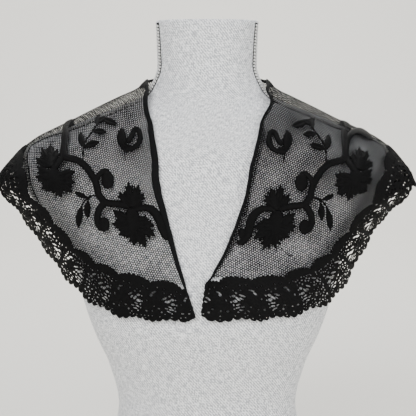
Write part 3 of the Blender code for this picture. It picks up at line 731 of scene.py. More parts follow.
def layFlat(first, last):
    # a coarse copy of one stretch of net is laid flat without stretching, so its meshes stay even
    columns = netSheet["coarseColumns"]
    rows = netSheet["coarseRows"]
    stations = evenStations(first, last, 1, columns)[0]
    points = netPlaces(stations, rows)
    mesh = bpy.data.meshes.new("coarse net")
    mesh.from_pydata((points.reshape(-1, 3) * mm).tolist(), [], gridFaces(columns, rows))
    mesh.uv_layers.new(name="Flat")
    copy = bpy.data.objects.new("coarse net", mesh)
    bpy.context.scene.collection.objects.link(copy)
    bpy.ops.object.select_all(action="DESELECT")
    copy.select_set(True)
    bpy.context.view_layer.objects.active = copy
    bpy.ops.object.mode_set(mode="EDIT")
    bpy.ops.mesh.select_all(action="SELECT")
    bpy.ops.uv.unwrap(method="MINIMUM_STRETCH", margin=0)
    bpy.ops.object.mode_set(mode="OBJECT")
    flat = np.zeros((columns * rows, 2))
    corners = np.empty(len(mesh.loops), np.int32)
    mesh.loops.foreach_get("vertex_index", corners)
    places = np.empty(len(mesh.loops) * 2)
    mesh.uv_layers["Flat"].data.foreach_get("uv", places)
    flat[corners] = places.reshape(-1, 2)
    flat = flat.reshape(columns, rows, 2)
    bpy.data.objects.remove(copy)
    bpy.data.meshes.remove(mesh)
    # to real size, with its middle upright
    real = np.linalg.norm(np.diff(points, axis=0), axis=2).sum()
    laid = np.linalg.norm(np.diff(flat, axis=0), axis=2).sum()
    flat *= real / laid
    down = flat[columns // 2, -1] - flat[columns // 2, 0]
    c, s = -down[1] / np.linalg.norm(down), down[0] / np.linalg.norm(down)
    return stations, np.stack([flat[..., 0] * c + flat[..., 1] * s, flat[..., 1] * c - flat[..., 0] * s], -1)


def flatAt(flat, u, v):
    # u along the net and v across it, both from 0 to 1
    columns, rows = flat.shape[:2]
    u = np.clip(u, 0, 1) * (columns - 1)
    v = np.clip(v, 0, 1) * (rows - 1)
    i = np.clip(u.astype(int), 0, columns - 2)
    k = np.clip(v.astype(int), 0, rows - 2)
    fu = (u - i)[..., None]
    fv = (v - k)[..., None]
    return ((flat[i, k] * (1 - fv) + flat[i, k + 1] * fv) * (1 - fu)
            + (flat[i + 1, k] * (1 - fv) + flat[i + 1, k + 1] * fv) * fu)


def buildNet():
    stations = evenStations(1, lastRib - 1, 1, netSheet["columns"])[0]
    ends = netSheet["panelEnds"]
    for end in ends[1:-1]:
        stations[np.argmin(np.abs(stations - end))] = end
    points = netPlaces(stations, netSheet["rows"]).reshape(-1, 3)
    faces = gridFaces(len(stations), netSheet["rows"])
    # a narrow hem of net is turned under along the right front edge
    hemStations = stations[(stations > 2.0) & (stations < 12.2)]
    hemWidth = netSheet["hem"] + 1.1 * np.sin(hemStations * 1.9) + 0.5 * np.sin(hemStations * 4.3)
    hemReach = np.linspace(0, 1, 6)[None, :] * (hemWidth / ribWidth(hemStations, 0))[:, None]
    hem = onCollar(hemStations[:, None], hemReach, -0.1).reshape(-1, 3)
    start = len(points)
    hemFaces = [tuple(v + start for v in f) for f in gridFaces(len(hemStations), 6)]
    # the two fronts and the back are laid flat one by one, and meet along the shoulders
    patterns = []
    for first, last in zip(ends, ends[1:]):
        coarse, flat = layFlat(first, last)
        shares = np.linspace(0, 1, len(coarse))
        u, v = np.meshgrid(np.interp(stations, coarse, shares), np.linspace(0, 1, netSheet["rows"]),
                           indexing="ij")
        hemAlong = np.broadcast_to(np.interp(hemStations, coarse, shares)[:, None], hemReach.shape)
        hemPlaces = flatAt(flat, hemAlong, hemReach).reshape(-1, 2) + np.array([0.7, 0.9])
        patterns.append(np.concatenate([flatAt(flat, u, v).reshape(-1, 2), hemPlaces]))
    places = np.concatenate([points, hem])
    piece = makePiece("netGround", places, faces + hemFaces, patterns[0], materials["net"])
    faceStations = np.concatenate([np.repeat(stations[:-1], netSheet["rows"] - 1), np.zeros(len(hemFaces))])
    panel = np.digitize(faceStations + 0.0001, ends[1:-1])
    corners = np.empty(len(piece.data.loops), np.int32)
    piece.data.loops.foreach_get("vertex_index", corners)
    laid = np.array(patterns)[np.repeat(panel, 4), corners]
    piece.data.uv_layers["Pattern"].data.foreach_set("uv", (laid * mm).ravel())
    # the net lies closer where it is drawn over the shoulder, and opens towards the hem; the thicker threads
    # over the shoulder are also painted shade, darkening the shoulder's lit top
    x, y, z = places.T
    shoulder = np.exp(-(((y - 3) / 23) ** 2)) * netSheet["shoulderCloserAndShade"]
    top = netSheet["closerTop"] * np.clip((z - 350) / 80, 0, 1)
    closer = np.maximum(shoulder, top + netSheet["closerRight"] * (x > 0))
    closer[len(points):] = 0
    piece.data.attributes.new("closer", "FLOAT", "POINT").data.foreach_set("value", closer)
    seat(piece, ["net_ground"])
    return piece


netPiece = buildNet()
print("net ground laid")

# Lace edging: one repeat is worked out flat, then set along the hem

laceEdging = {"repeat": 36.6, "depth": 46.5, "hemBumps": 5, "headBumps": 7, "gridStep": 2.1,
              "underLift": 0.95, "topLift": 1.4, "flare": 0.6, "uneven": 0.3,
              "opened": 0.1, "rightOpened": 0.06,
              "rightStart": -10.2, "tries": 420}
laceGaps = [
    # along, down, half length, half height, tilt in degrees
    (9.3, 14.6, 2.4, 0.8, -25), (6.9, 18.0, 1.7, 1.2, -40), (20.8, 20.2, 3.0, 0.9, -33),
    (22.8, 23.3, 1.6, 0.8, -45), (26.0, 16.6, 1.1, 1.0, 0), (26.2, 23.2, 2.3, 1.2, -45),
    (29.6, 20.2, 1.7, 1.2, -10), (33.4, 20.6, 0.8, 0.8, 0), (30.4, 25.8, 2.2, 1.3, 8),
    (34.2, 26.0, 0.9, 0.8, 0), (28.3, 29.3, 2.2, 0.7, 10), (33.0, 29.8, 0.7, 1.1, 0),
    (29.6, 32.3, 2.4, 0.8, 12), (24.3, 31.6, 1.6, 0.7, 20), (27.5, 35.0, 2.2, 0.7, 12),
    (33.4, 33.8, 0.8, 0.7, 0), (30.8, 36.9, 0.9, 0.7, 0), (16.6, 32.5, 1.1, 0.8, 0),
    (19.9, 36.4, 1.0, 1.0, 0), (24.0, 38.2, 0.7, 0.5, 0), (3.4, 36.0, 1.2, 0.9, 0),
    (9.5, 35.5, 0.9, 0.9, 0), (19.3, 9.2, 0.8, 0.7, 0), (20.4, 14.0, 0.9, 0.9, 0),
    (28.3, 14.1, 0.8, 0.7, 0), (31.8, 15.4, 0.6, 0.6, 0), (2.6, 24.5, 0.8, 1.0, 0),
    (2.6, 11.5, 0.7, 0.6, 0), (12.6, 9.0, 0.7, 0.6, 0), (34.3, 10.0, 0.7, 0.6, 0),
    (25.6, 9.4, 0.6, 0.6, 0), (11.4, 30.6, 0.6, 0.6, 0),
]


def laceHeading(u):
    bump = laceEdging["repeat"] / laceEdging["headBumps"]
    turn = math.pi * (u - bump) / laceEdging["repeat"]
    bumps = np.abs(np.sin(turn * laceEdging["headBumps"])) ** 0.6
    return 5.2 - 4.6 * np.abs(np.sin(turn)) ** 0.75 - 1.7 * bumps


def laceHem(u):
    bump = laceEdging["repeat"] / laceEdging["hemBumps"]
    turn = math.pi * (u + bump) / laceEdging["repeat"]
    wave = -2.8 - 1.7 * np.cos(2 * turn)
    return laceEdging["depth"] + wave + 3.1 * np.abs(np.sin(turn * laceEdging["hemBumps"])) ** 0.55


def hemEyelets():
    # one small opening inside every bump of the hem, and a finer row above it
    repeat = laceEdging["repeat"]
    eyelets = []
    for i in range(laceEdging["hemBumps"]):
        u = (i + 0.5) * repeat / laceEdging["hemBumps"]
        eyelets.append((u, float(laceHem(u)) - 3.1, 0.45, 0.4, 0))
    for i in range(9):
        u = (i + 0.5) * repeat / 9
        eyelets.append((u, 41.2 + 0.12 * (float(laceHem(u)) - 46), 0.6, 0.5, 0))
    return eyelets


def ridge(distance, width):
    return np.exp(-((distance / width) ** 2))


def laceRise(u, v):
    # how far the worked threads stand up: rims, a slanting leaf, rings round the openings
    heading = laceHeading(u)
    hem = laceHem(u)
    rise = 0.35 * ridge(v - heading - 1.4, 1.1) + 0.45 * ridge(v - heading - 5.2, 1.2)
    rise += 0.3 * ridge(v - heading - 9.0, 1.2)
    rise += 0.45 * ridge(hem - v - 1.7, 1.3) + 0.4 * ridge(hem - v - 5.6, 1.2)
    repeat = laceEdging["repeat"]
    fromRing = (u - 28.8 + repeat / 2) % repeat - repeat / 2
    ring = np.hypot(fromRing / 5.9, (v - 26.4) / 12.0)
    rise += 0.75 * ridge((ring - 1.1) * 6.6, 1.3) + 0.35 * ridge((ring - 1.55) * 6.6, 1.0)
    lean = math.radians(-24)
    leafU = (u - 13.4) * math.cos(lean) - (v - 25.0) * math.sin(lean)
    leafV = (u - 13.4) * math.sin(lean) + (v - 25.0) * math.cos(lean)
    body = np.clip(1 - (leafU / 4.9) ** 2 - (leafV / 11.0) ** 2, 0, 1)
    rise += 0.9 * np.sqrt(body) - 0.5 * ridge(leafU, 0.7) * (body > 0)
    rise += 0.16 * np.sin(2 * math.pi * u / 2.4) * np.sin(2 * math.pi * v / 2.6)
    return np.clip(rise, -0.2, 1.3)


def insideGap(u, v, gap, grow=0.0):
    along, down, halfLength, halfHeight, tilt = gap
    c = math.cos(math.radians(tilt))
    s = math.sin(math.radians(tilt))
    a = (u - along) * c + (v - down) * s
    b = -(u - along) * s + (v - down) * c
    return (a / (halfLength + grow)) ** 2 + (b / (halfHeight + grow)) ** 2 < 1


def moreGaps(chance, gaps):
    # at the sides the lace is worked looser, with small openings scattered between the others
    gaps = list(gaps)
    for _ in range(laceEdging["tries"]):
        u, v = chance.uniform((2, 9), (34.6, 43.5))
        size = chance.uniform(0.7, 1.25)
        if all(math.hypot(u - gap[0], v - gap[1]) > size + max(gap[2], gap[3]) + 0.6 for gap in gaps):
            gaps.append((u, v, size * 1.25, size * 0.8, chance.uniform(-60, 60)))
    return gaps


def unevenGaps(chance, opened, free):
    # the same openings, each a little different as threads pull
    gaps = []
    amount = laceEdging["uneven"]
    for along, down, halfLength, halfHeight, tilt in laceGaps + hemEyelets():
        shift = chance.uniform(-1, 1, 5)
        if halfLength < 0.65 and chance.uniform() < 0.45:
            continue
        gaps.append((along + amount * shift[0], down + amount * shift[1],
                     halfLength * (opened + 0.5 * amount * shift[2]),
                     halfHeight * (opened + 0.5 * amount * shift[3]), tilt + 40 * amount * shift[4]))
    return moreGaps(chance, gaps) if free > 0.5 else gaps


def insideOutline(outline, u, v):
    crossings = 0
    for (u1, v1), (u2, v2) in zip(outline, outline[1:] + outline[:1]):
        if (v1 > v) != (v2 > v) and u < u1 + (v - v1) / (v2 - v1) * (u2 - u1):
            crossings += 1
    return crossings % 2 == 1


def flatLaceRepeat(gaps, width):
    # one repeat from its left side; the last one at each front end is cut short
    step = laceEdging["gridStep"]
    gaps = [gap for gap in gaps if gap[0] + gap[2] < width - 0.9]
    across = np.linspace(0, width, max(5, round(width)) + 1)
    nearMarks = np.linspace(laceHeading(0.0), laceHem(0.0), 26)[1:-1]
    farMarks = np.linspace(laceHeading(width), laceHem(width), 26)[1:-1]
    outline = [(u, float(laceHeading(u))) for u in across]
    if width < laceEdging["repeat"] - 0.1:  # a cut end is oversewn in small bumps round its corner
        inset = 1.3 * (1 - np.abs(np.sin(math.pi * (farMarks - farMarks[0]) / 7.3)) ** 0.6)
        inset += 4.5 * np.clip((farMarks - 39) / (farMarks[-1] - 39), 0, 1) ** 2.2
        outline += [(width - float(d), float(v)) for d, v in zip(inset, farMarks)]
        across = across[across < width - 5.2]
    else:
        outline += [(width, float(v)) for v in farMarks]
    outline += [(u, float(laceHem(u))) for u in across[::-1]]
    outline += [(0.0, float(v)) for v in nearMarks[::-1]]
    places = list(outline)
    edges = [(i, (i + 1) % len(outline)) for i in range(len(outline))]
    for along, down, halfLength, halfHeight, tilt in gaps:
        corners = 9 if halfLength > 1.6 else 6
        start = len(places)
        for i in range(corners):
            turn = 2 * math.pi * i / corners
            a = halfLength * math.cos(turn)
            b = halfHeight * math.sin(turn)
            c = math.cos(math.radians(tilt))
            s = math.sin(math.radians(tilt))
            places.append((along + a * c - b * s, down + a * s + b * c))
            edges.append((start + i, start + (i + 1) % corners))
    rows = int(58 / (step * 0.866))
    for j in range(rows):
        v = -7 + j * step * 0.866
        for i in range(1, int(width / step) + 2):
            u = i * step - (step / 2 if j % 2 else 0)
            if not step * 0.6 < u < width - step * 0.6:
                continue
            if not laceHeading(u) + step * 0.6 < v < laceHem(u) - step * 0.6:
                continue
            if any(insideGap(u, v, gap, step * 0.45) for gap in gaps):
                continue
            if width < laceEdging["repeat"] - 0.1 and u > width - 2.4 - max(0, v - 37) * 0.7:
                continue
            places.append((u, v))
    flat = delaunay_2d_cdt([Vector(p) for p in places], edges, [], 0, 0.02)
    points = np.array([tuple(p) for p in flat[0]])
    faces = []
    for face in flat[2]:
        u, v = points[list(face)].mean(axis=0)
        if any(insideGap(u, v, gap) for gap in gaps):
            continue
        if not laceHeading(u) - 0.05 < v < laceHem(u) + 0.05:
            continue
        if width < laceEdging["repeat"] - 0.1 and u > width - 6 and not insideOutline(outline, u, v):
            continue
        faces.append(tuple(face))
    return points, faces


def freeAt(station):
    # 1 where the edging hangs free at the side of the shoulder, 0 where it lies on the chest
    middle = onCollar(station, 1.8, 0)
    facing = outwardAt(readCollar, middle[..., 0], middle[..., 1], rootHeight - middle[..., 2])
    return np.clip((np.abs(facing[..., 0]) - 0.35) / 0.45, 0, 1)


def buildLace():
    repeat = laceEdging["repeat"]
    length = evenStations(0, lastRib, 1.5, 2)[1]
    marks = evenStations(0, lastRib, 1.5, 3401)[0]
    # the pattern turns round at the middle of the back, so that both fronts match
    half = int(length / 2 / repeat) + 1
    count = int(length / repeat) + 1
    rightPitch = (half * repeat - laceEdging["rightStart"]) / half
    chance = np.random.default_rng(11)
    allPoints = []
    names = {}
    allFaces = []
    for r in range(count):
        mirrored = r < half
        start = laceEdging["rightStart"] + r * rightPitch if mirrored else r * repeat
        pitch = rightPitch if mirrored else repeat
        inside = min(start + pitch, length) - max(start, 0)
        width = repeat * inside / pitch
        middle = np.interp(max(start, 0) + inside / 2, np.linspace(0, length, len(marks)), marks)
        free = float(freeAt(middle))
        opened = 1.1 + laceEdging["opened"] * free + laceEdging["rightOpened"] * (r < 8)
        gaps = unevenGaps(chance, opened, free)
        points, faces = flatLaceRepeat(gaps, width)
        here = {}
        for i, (u, v) in enumerate(points):
            along = start + (pitch - u * pitch / repeat if mirrored else u)
            key = (round(along * 50), round(v * 50))
            if key not in names:
                names[key] = len(allPoints)
                allPoints.append((along, v, u, v))
            here[i] = names[key]
        for face in faces:
            named = tuple(here[i] for i in face)
            allFaces.append(named[::-1] if mirrored else named)
    allPoints = np.array(allPoints)
    station = np.interp(allPoints[:, 0], np.linspace(0, length, len(marks)), marks)
    v = allPoints[:, 1]
    rise = laceRise(allPoints[:, 2], allPoints[:, 3])
    # where the cloth hangs free, each scallop stands out a little
    ramp = np.clip((v - 24) / 20, 0, 1) ** 1.5
    flare = freeAt(station) * ramp * (0.8 + laceEdging["flare"] * (laceHem(allPoints[:, 2]) - 44.5))
    top = onLace(station, v, laceEdging["topLift"] + rise + flare)
    under = onLace(station, v, laceEdging["underLift"] + flare)
    sides = set()
    for face in allFaces:
        for a, b in zip(face, face[1:] + face[:1]):
            sides.add((a, b))
    total = len(allPoints)
    solid = list(allFaces) + [tuple(total + i for i in reversed(face)) for face in allFaces]
    solid += [(b, a, total + a, total + b) for a, b in sides if (b, a) not in sides]
    pattern = np.concatenate([allPoints[:, :2], allPoints[:, :2]])
    piece = makePiece("laceEdging", np.concatenate([top, under]), solid, pattern, materials["lace"])
    seat(piece, ["lace_edging"])
    triangles = sum(len(face) - 2 for face in solid)
    print("lace repeats", count, "triangles", triangles)
    return piece


lacePiece = buildLace()

# Binding: a narrow tape folded over the neck and front edge

binding = {"past": 0.9, "atShoulder": 7.5, "fullShoulder": 6.0, "halfThick": 1.15, "lift": 0.5,
           "sides": 12, "columns": 420}
bindingWidths = [
    # share of the whole edge, width
    (0.0, 1.6), (0.27, 1.8), (0.33, 4.5), (0.38, 6.0), (0.42, 3.6), (0.58, 3.6), (0.62, 6.0),
    (0.66, 5.2), (0.7, 4.3), (0.86, 4.3), (0.93, 3.4), (1.0, 2.8),
]


def buildBinding():
    stations = evenStations(1, lastRib - 1, 0, binding["columns"])[0]
    stations = stations[ribWidth(stations, 0) > 11]
    share = np.linspace(0, 1, len(stations))
    width = np.interp(share, [w[0] for w in bindingWidths], [w[1] for w in bindingWidths])
    rib = ribWidth(stations, 0)
    # the tape stands up against the neck at the shoulders
    edgeTurn = readRib(stations)[:, 0]
    fromSide = np.where(edgeTurn < -90, -180 - edgeTurn, edgeTurn)
    reachUp = binding["past"] + binding["atShoulder"] * np.exp(-(((fromSide - 8) / 12) ** 2))
    past = np.concatenate([np.full(16, binding["past"]), reachUp, np.full(16, binding["past"])])
    width = width + binding["fullShoulder"] * np.exp(-(((fromSide - 12) / 9) ** 2))
    # the tape runs on over both cut ends of the edging
    rightEnds = np.linspace(2.0, 8.0, 16)
    ends = np.linspace(2.0, 41.0, 16)
    endStep = 0.5 / ribWidth(np.array([0.0, lastRib]), 1).mean()
    spacing = [np.linalg.norm(onLace(a, downs, 0) - onLace(b, downs, 0), axis=1)
               for a, b, downs in ((0, endStep, rightEnds), (lastRib, lastRib - endStep, ends))]
    rings = []
    for i in range(binding["sides"]):
        turn = 2 * math.pi * i / binding["sides"]
        wide = np.concatenate([np.full(len(ends), 3.2), width, np.full(len(ends), 3.6)])
        middle = (wide - past) / 2
        half = (wide + past) / 2
        offset = middle + half * np.sign(math.cos(turn)) * abs(math.cos(turn)) ** 0.7
        count = np.arange(len(offset))
        wobble = 0.12 * np.sin(count * 0.9 + i) + 0.1 * np.sin(count * 1.7)
        lift = (binding["halfThick"] + wobble) * math.sin(turn)
        right = offset[:len(ends)][::-1]
        left = offset[-len(ends):]
        first = onLace(np.clip(right / spacing[0][::-1] * endStep, 0, None), rightEnds[::-1],
                       lift[:len(ends)] + 1.5)
        last = onLace(lastRib - np.clip(left / spacing[1] * endStep, 0, None), ends, lift[-len(ends):] + 1.5)
        onNet = slice(len(ends), -len(ends))
        rings.append(np.concatenate([first, onCollar(stations, offset[onNet] / rib,
                                                     lift[onNet] + binding["lift"]), last]))
    rings = np.stack(rings, 1)
    middles = rings.mean(axis=1)
    length = np.concatenate([[0], np.cumsum(np.linalg.norm(np.diff(middles, axis=0), axis=1))])
    across = np.linspace(0, 10, binding["sides"], endpoint=False)
    pattern = np.stack(np.broadcast_arrays(length[:, None], across[None, :]), -1)
    piece = makePiece("edgeBinding", rings.reshape(-1, 3), tubeFaces(len(rings), binding["sides"]),
                      pattern.reshape(-1, 2), materials["binding"])
    seat(piece, ["edge_binding"])


buildBinding()
print("binding folded over")

# Embroidery in raised satin stitch, as distance from the middle and drop on one front quarter.
# The right front is shifted a little, and the back repeats the left front.

satin = {"step": 1.1, "under": 0.85, "base": 1.15, "rise": 1.3, "stitchJag": 0.2, "stem": 7.4,
         "hook": 5.6, "lowHook": 7.4, "fineStem": 1.7, "tail": 9.4, "barb": 3.8}
shoulderStemLine = [(154, 38.5), (153.3, 42), (152.8, 47), (152.8, 53)]
stemLine = [(152.8, 53), (153, 61), (150.5, 68.5), (137, 71.9), (128, 78), (121, 87), (115.8, 97),
            (113.5, 106.5), (106.5, 114), (96, 115.5), (87, 117), (80, 120)]
archLine = [(153, 64), (154.5, 54), (158, 45.5), (166, 41), (177, 42.5), (185, 50)]
flowerStemLine = [(153, 64), (155, 71), (160, 77.5), (164, 82)]
hookLines = [
    [(115, 101), (116.5, 93.5), (114, 87), (108.5, 82.4), (102.5, 83.5)],
    [(106.5, 114), (112.4, 120.5), (115.2, 129.5), (114, 137.5), (109, 142.5)],
]
buds = [
    # centre distance, centre drop, half width, half height
    (104.4, 91.4, 6.8, 9.2), (108.0, 137.4, 6.1, 7.8),
]
fineStems = [
    [(112.5, 107.5), (118, 107.6), (122, 108.2), (128.7, 113.5), (132.8, 120.5)],
    [(121, 107.8), (125, 109.2), (128, 109.4)],
    [(121.5, 108), (124.8, 111.5), (125, 116)],
    [(130.9, 76), (131.4, 64), (131.2, 58), (129, 51.5), (124, 44.5), (119.5, 37.5), (116, 33)],
]
leaves = [
    # base distance, base drop, tip distance, tip drop, width
    (126, 109.6, 139, 104.2, 5.6), (124.6, 113, 125.6, 131.5, 7.2), (131.9, 119, 135.6, 142.5, 7.6),
    (131, 58, 135.3, 43, 7.8), (131, 58, 113.8, 52.2, 7.0), (121.5, 41.5, 107, 42, 6.4),
    (117.5, 37, 116, 24.3, 6.2), (117, 33, 108, 27.5, 6.5), (112, 28.5, 95.5, 34, 7.4),
]
innerSprigStem = [(85.8, 71), (87, 63), (88, 54)]
innerSprigLeaves = [
    (88.5, 60, 90.3, 37, 10.5), (89, 60, 79, 57.5, 8.5),
]
innerSprigRing = [(88, 59), (80, 59), (73, 54.5), (70.5, 46.5), (73, 39.5), (77, 40), (80, 46.5), (85, 53)]
vineEnds = {
    "Left": [(78, 122), (72, 120.6), (65, 119.4), (57, 122), (50.5, 130.5), (47, 140), (43.5, 148.5),
             (40.5, 152.5)],
    "Right": [(78, 121), (71, 118), (63, 118.4), (55.7, 123), (51.5, 130), (49.5, 138), (46.5, 146.5),
              (41, 152), (36, 151.5)],
    "Back": [(72, 120), (65, 119.4), (57, 122.5), (50.5, 131), (47.8, 140), (47, 146)],
}
curlBud = (42.0, 143.5, 4.0, 5.6)
looseThreads = [
    [(81.4, 152.2), (83.8, 160.2), (90.3, 166), (94.4, 167.4)], [(77.3, 158), (78.9, 164.8)],
]
flowerHeads = {
    # the middle of the petals, their points in order, the waist and the points of the crown
    "Upper": {
        "middle": (161, 92), "waist": (165.5, 80),
        "petals": [(182, 79.5), (183, 89.5), (176, 102.5), (169, 104.5), (162.5, 106.5), (154, 111),
                   (141.5, 104.8), (138.5, 95), (139.5, 84)],
        "crown": [(157.5, 69.5), (160, 61), (168.5, 55.5), (178, 59.8), (184, 71.5)],
    },
    "Lower": {
        "middle": (77, 137), "waist": (79.5, 119.5),
        "petals": [(98.5, 122.5), (100, 136.5), (92, 148.5), (84.5, 151.5), (76.5, 159), (63.8, 160.8),
                   (53.5, 149), (54.4, 137.5), (60, 131)],
        "crown": [(66.5, 113), (65, 104), (71, 95.5), (82.4, 92.5), (92, 103)],
    },
}


class Heap:
    # points, faces and pattern places that become one piece
    def __init__(self):
        self.points = []
        self.faces = []
        self.pattern = []
        self.count = 0

    def add(self, points, faces, pattern):
        self.points.append(points)
        self.pattern.append(pattern)
        self.faces += [tuple(v + self.count for v in f) for f in faces]
        self.count += len(points)


def strip(heap, line, widthAt, put, veined=False, slant=0.0, jag=None, step=None):
    # a raised band of stitches along a line; widthAt gives its width for shares of its length
    line = smoothLine(line, step or satin["step"])
    share = np.linspace(0, 1, len(line))
    along = np.gradient(line, axis=0)
    along /= np.linalg.norm(along, axis=1)[:, None]
    aside = np.stack([-along[:, 1], along[:, 0]], -1)
    jag = satin["stitchJag"] if jag is None else jag
    width = widthAt(share)
    ends = np.clip(width, 0.25, None) + jag * np.where(np.arange(len(line)) % 2, 0.5, -0.5) * (width > 1)
    across = np.array([-1, -0.78, -0.45, -0.15, 0.15, 0.45, 0.78, 1.0])
    if veined:
        bulge = np.abs(np.sin(math.pi * np.abs(across))) ** 0.6 * 0.8 + 0.12
        bulge[[0, -1]] = 0
        bulge[[3, 4]] = 0.35
    else:
        bulge = np.sqrt(np.clip(1 - across**2, 0, 1))
    size = np.clip(width / 5.5, 0.35, 1.25)
    spots = line[:, None, :] + aside[:, None, :] * (across[None, :, None] * ends[:, None, None] / 2)
    lift = satin["base"] + satin["rise"] * bulge[None, :] * size[:, None]
    lift[[0, -1]] = satin["base"]
    top = put(spots[..., 0], spots[..., 1], lift)
    low = spots[:, [7, 0], :]
    under = put(low[..., 0], low[..., 1], np.full(low.shape[:2], satin["under"]))
    rings = np.concatenate([top, under], 1)
    length = np.concatenate([[0], np.cumsum(np.linalg.norm(np.diff(line, axis=0), axis=1))])
    reach = across[None, :] * ends[:, None] / 2
    u = length[:, None] + slant * np.abs(reach)
    topPattern = np.stack([u, np.broadcast_to(reach, u.shape)], -1)
    pattern = np.concatenate([topPattern, topPattern[:, [7, 0]]], 1)
    heap.add(rings.reshape(-1, 3), tubeFaces(len(line), 10), pattern.reshape(-1, 2))


def leafWidth(width):
    shape = [(0, 0.28), (0.12, 0.5), (0.35, 0.95), (0.55, 1.0), (0.75, 0.8), (0.9, 0.42), (1, 0.05)]
    return lambda share: width * np.interp(share, [s[0] for s in shape], [s[1] for s in shape])


def petalWidth(width):
    shape = [(0, 0.5), (0.3, 1.0), (0.55, 0.95), (0.75, 0.62), (0.88, 0.3), (1, 0.08)]
    return lambda share: width * np.interp(share, [s[0] for s in shape], [s[1] for s in shape])


def evenWidth(width, start=0.35, end=0.35):
    # start and end give how much of the width is left at each end
    def widthAt(share):
        taper = np.minimum(start + share * 14, end + (1 - share) * 14)
        return width * np.clip(taper, 0.35, 1)
    return widthAt


def tailWidth(width):
    shape = [(0, 0.5), (0.2, 0.72), (0.45, 1.0), (0.75, 1.0), (0.92, 0.75), (1, 0.3)]
    return lambda share: width * np.interp(share, [s[0] for s in shape], [s[1] for s in shape])


def budShape(heap, bud, put):
    x, drop, across, deep = bud
    line = [(x + 0.2, drop - deep), (x, drop), (x - 0.2, drop + deep)]
    strip(heap, line, lambda share: 2 * across * np.sqrt(np.clip(1 - (2 * share - 1) ** 2, 0.01, 1)),
          put, slant=0.0)


def makePut(side, behind):
    shift = (-5.5, 2.5) if side > 0 and not behind else (0.0, 0.0)

    def put(x, drop, lift):
        return seenAt((x + shift[0]) * side, drop + shift[1], behind, lift)

    return put


def finishHeap(heap, name, node):
    piece = makePiece(name, np.concatenate(heap.points), heap.faces, np.concatenate(heap.pattern),
                      materials["embroidery"])
    seat(piece, [node])


def sewFineStems(heap, lines, put):
    for line in lines:
        strip(heap, line, lambda share: np.full(len(share), satin["fineStem"]), put, jag=0.1)


def sewLeaves(heap, rows, put):
    for x, drop, tipX, tipDrop, width in rows:
        bow = ((x + tipX) / 2 + 0.9, (drop + tipDrop) / 2)
        strip(heap, [(x, drop), bow, (tipX, tipDrop)], leafWidth(width), put, veined=True, slant=0.9)


def sewVine(put, name, node):
    heap = Heap()
    strip(heap, shoulderStemLine + stemLine[1:], evenWidth(satin["stem"], start=1), put, slant=0.4)
    if name == "vineFrontRight":
        strip(heap, archLine, evenWidth(satin["stem"] - 1.2), put, slant=0.4)
    strip(heap, flowerStemLine, evenWidth(satin["stem"] - 1.0), put, slant=0.4)
    for line, width in zip(hookLines, (satin["hook"], satin["lowHook"])):
        strip(heap, line, evenWidth(width), put, slant=0.4)
    for bud in buds:
        budShape(heap, bud, put)
    sewFineStems(heap, fineStems, put)
    sewLeaves(heap, leaves, put)
    finishHeap(heap, name, node)


def sewPetal(heap, root, tip, width, put):
    root = np.array(root, float)
    tip = np.array(tip, float)
    way = tip - root
    aside = np.array([-way[1], way[0]]) / np.linalg.norm(way)
    middle = (root + tip) / 2 + aside * 0.6
    strip(heap, [root, middle, tip], petalWidth(width), put, veined=True, slant=0.8, jag=0.5)
    for side in (-1, 1):  # a barb on each side of the point
        start = root + way * 0.45
        end = root + way * 0.84 + aside * side * (width * 0.36 + 1.9)
        strip(heap, [start, (start + end) / 2 + way * 0.05, end], petalWidth(satin["barb"]), put, jag=0.3)


def sewFlower(put, kind, name, node, threads=()):
    head = flowerHeads[kind]
    middle = np.array(head["middle"], float)
    waist = np.array(head["waist"], float)
    heap = Heap()
    for tip in head["crown"]:
        sewPetal(heap, waist + (np.array(tip) - waist) * 0.12, tip, 8.2, put)
    crownMiddle = np.mean(head["crown"], axis=0)
    strip(heap, [waist, waist * 0.55 + crownMiddle * 0.45, crownMiddle], petalWidth(13.0), put, slant=0.8)
    for tip in head["petals"]:
        sewPetal(heap, middle + (np.array(tip) - middle) * 0.1, tip, 10.6, put)
    strip(heap, [waist, (waist + middle) / 2, middle + (middle - waist) * 0.4],
          lambda share: 6 + 11 * np.sin(math.pi * np.clip(share * 0.9, 0, 1)) ** 0.8, put, slant=0.6)
    for line in threads:
        strip(heap, line, lambda share: np.full(len(share), 0.8), put, jag=0.0)
    finishHeap(heap, name, node)


def sewSprig(put, name, node):
    heap = Heap()
    sewFineStems(heap, [innerSprigStem], put)
    sewLeaves(heap, innerSprigLeaves, put)
    strip(heap, innerSprigRing, evenWidth(5.6), put, slant=0.4)
    finishHeap(heap, name, node)


def sewVineEnd(put, kind, name, node):
    heap = Heap()
    strip(heap, vineEnds[kind], tailWidth(satin["tail"]), put, slant=0.4)
    if kind == "Right":
        budShape(heap, curlBud, put)
    finishHeap(heap, name, node)


def ridgeTop(x, y, lift):
    # the top of the collar at one place seen from above
    x, y, lift = np.broadcast_arrays(*[np.asarray(v, float) for v in (x, y, lift)])
    low = np.full(x.shape, -24.0)
    high = np.full(x.shape, 104.0)
    for _ in range(40):
        middle = (low + high) / 2
        outside = levelAt(readCollar, x, y, middle) > 1
        low = np.where(outside, middle, low)
        high = np.where(outside, high, middle)
    return lifted(readCollar, x, y, high, lift)


def sewShoulderStem(side, sideName):
    heap = Heap()

    def put(x, y, lift):
        return ridgeTop(x * side, y, 0.5 * lift + 0.35)

    shoulderLine = [(153.5, -32), (153.5, 0), (153.5, 32)]
    strip(heap, shoulderLine, evenWidth(satin["stem"], start=1, end=1), put)
    finishHeap(heap, "vineShoulder" + sideName, "vine_shoulder_" + sideName.lower())


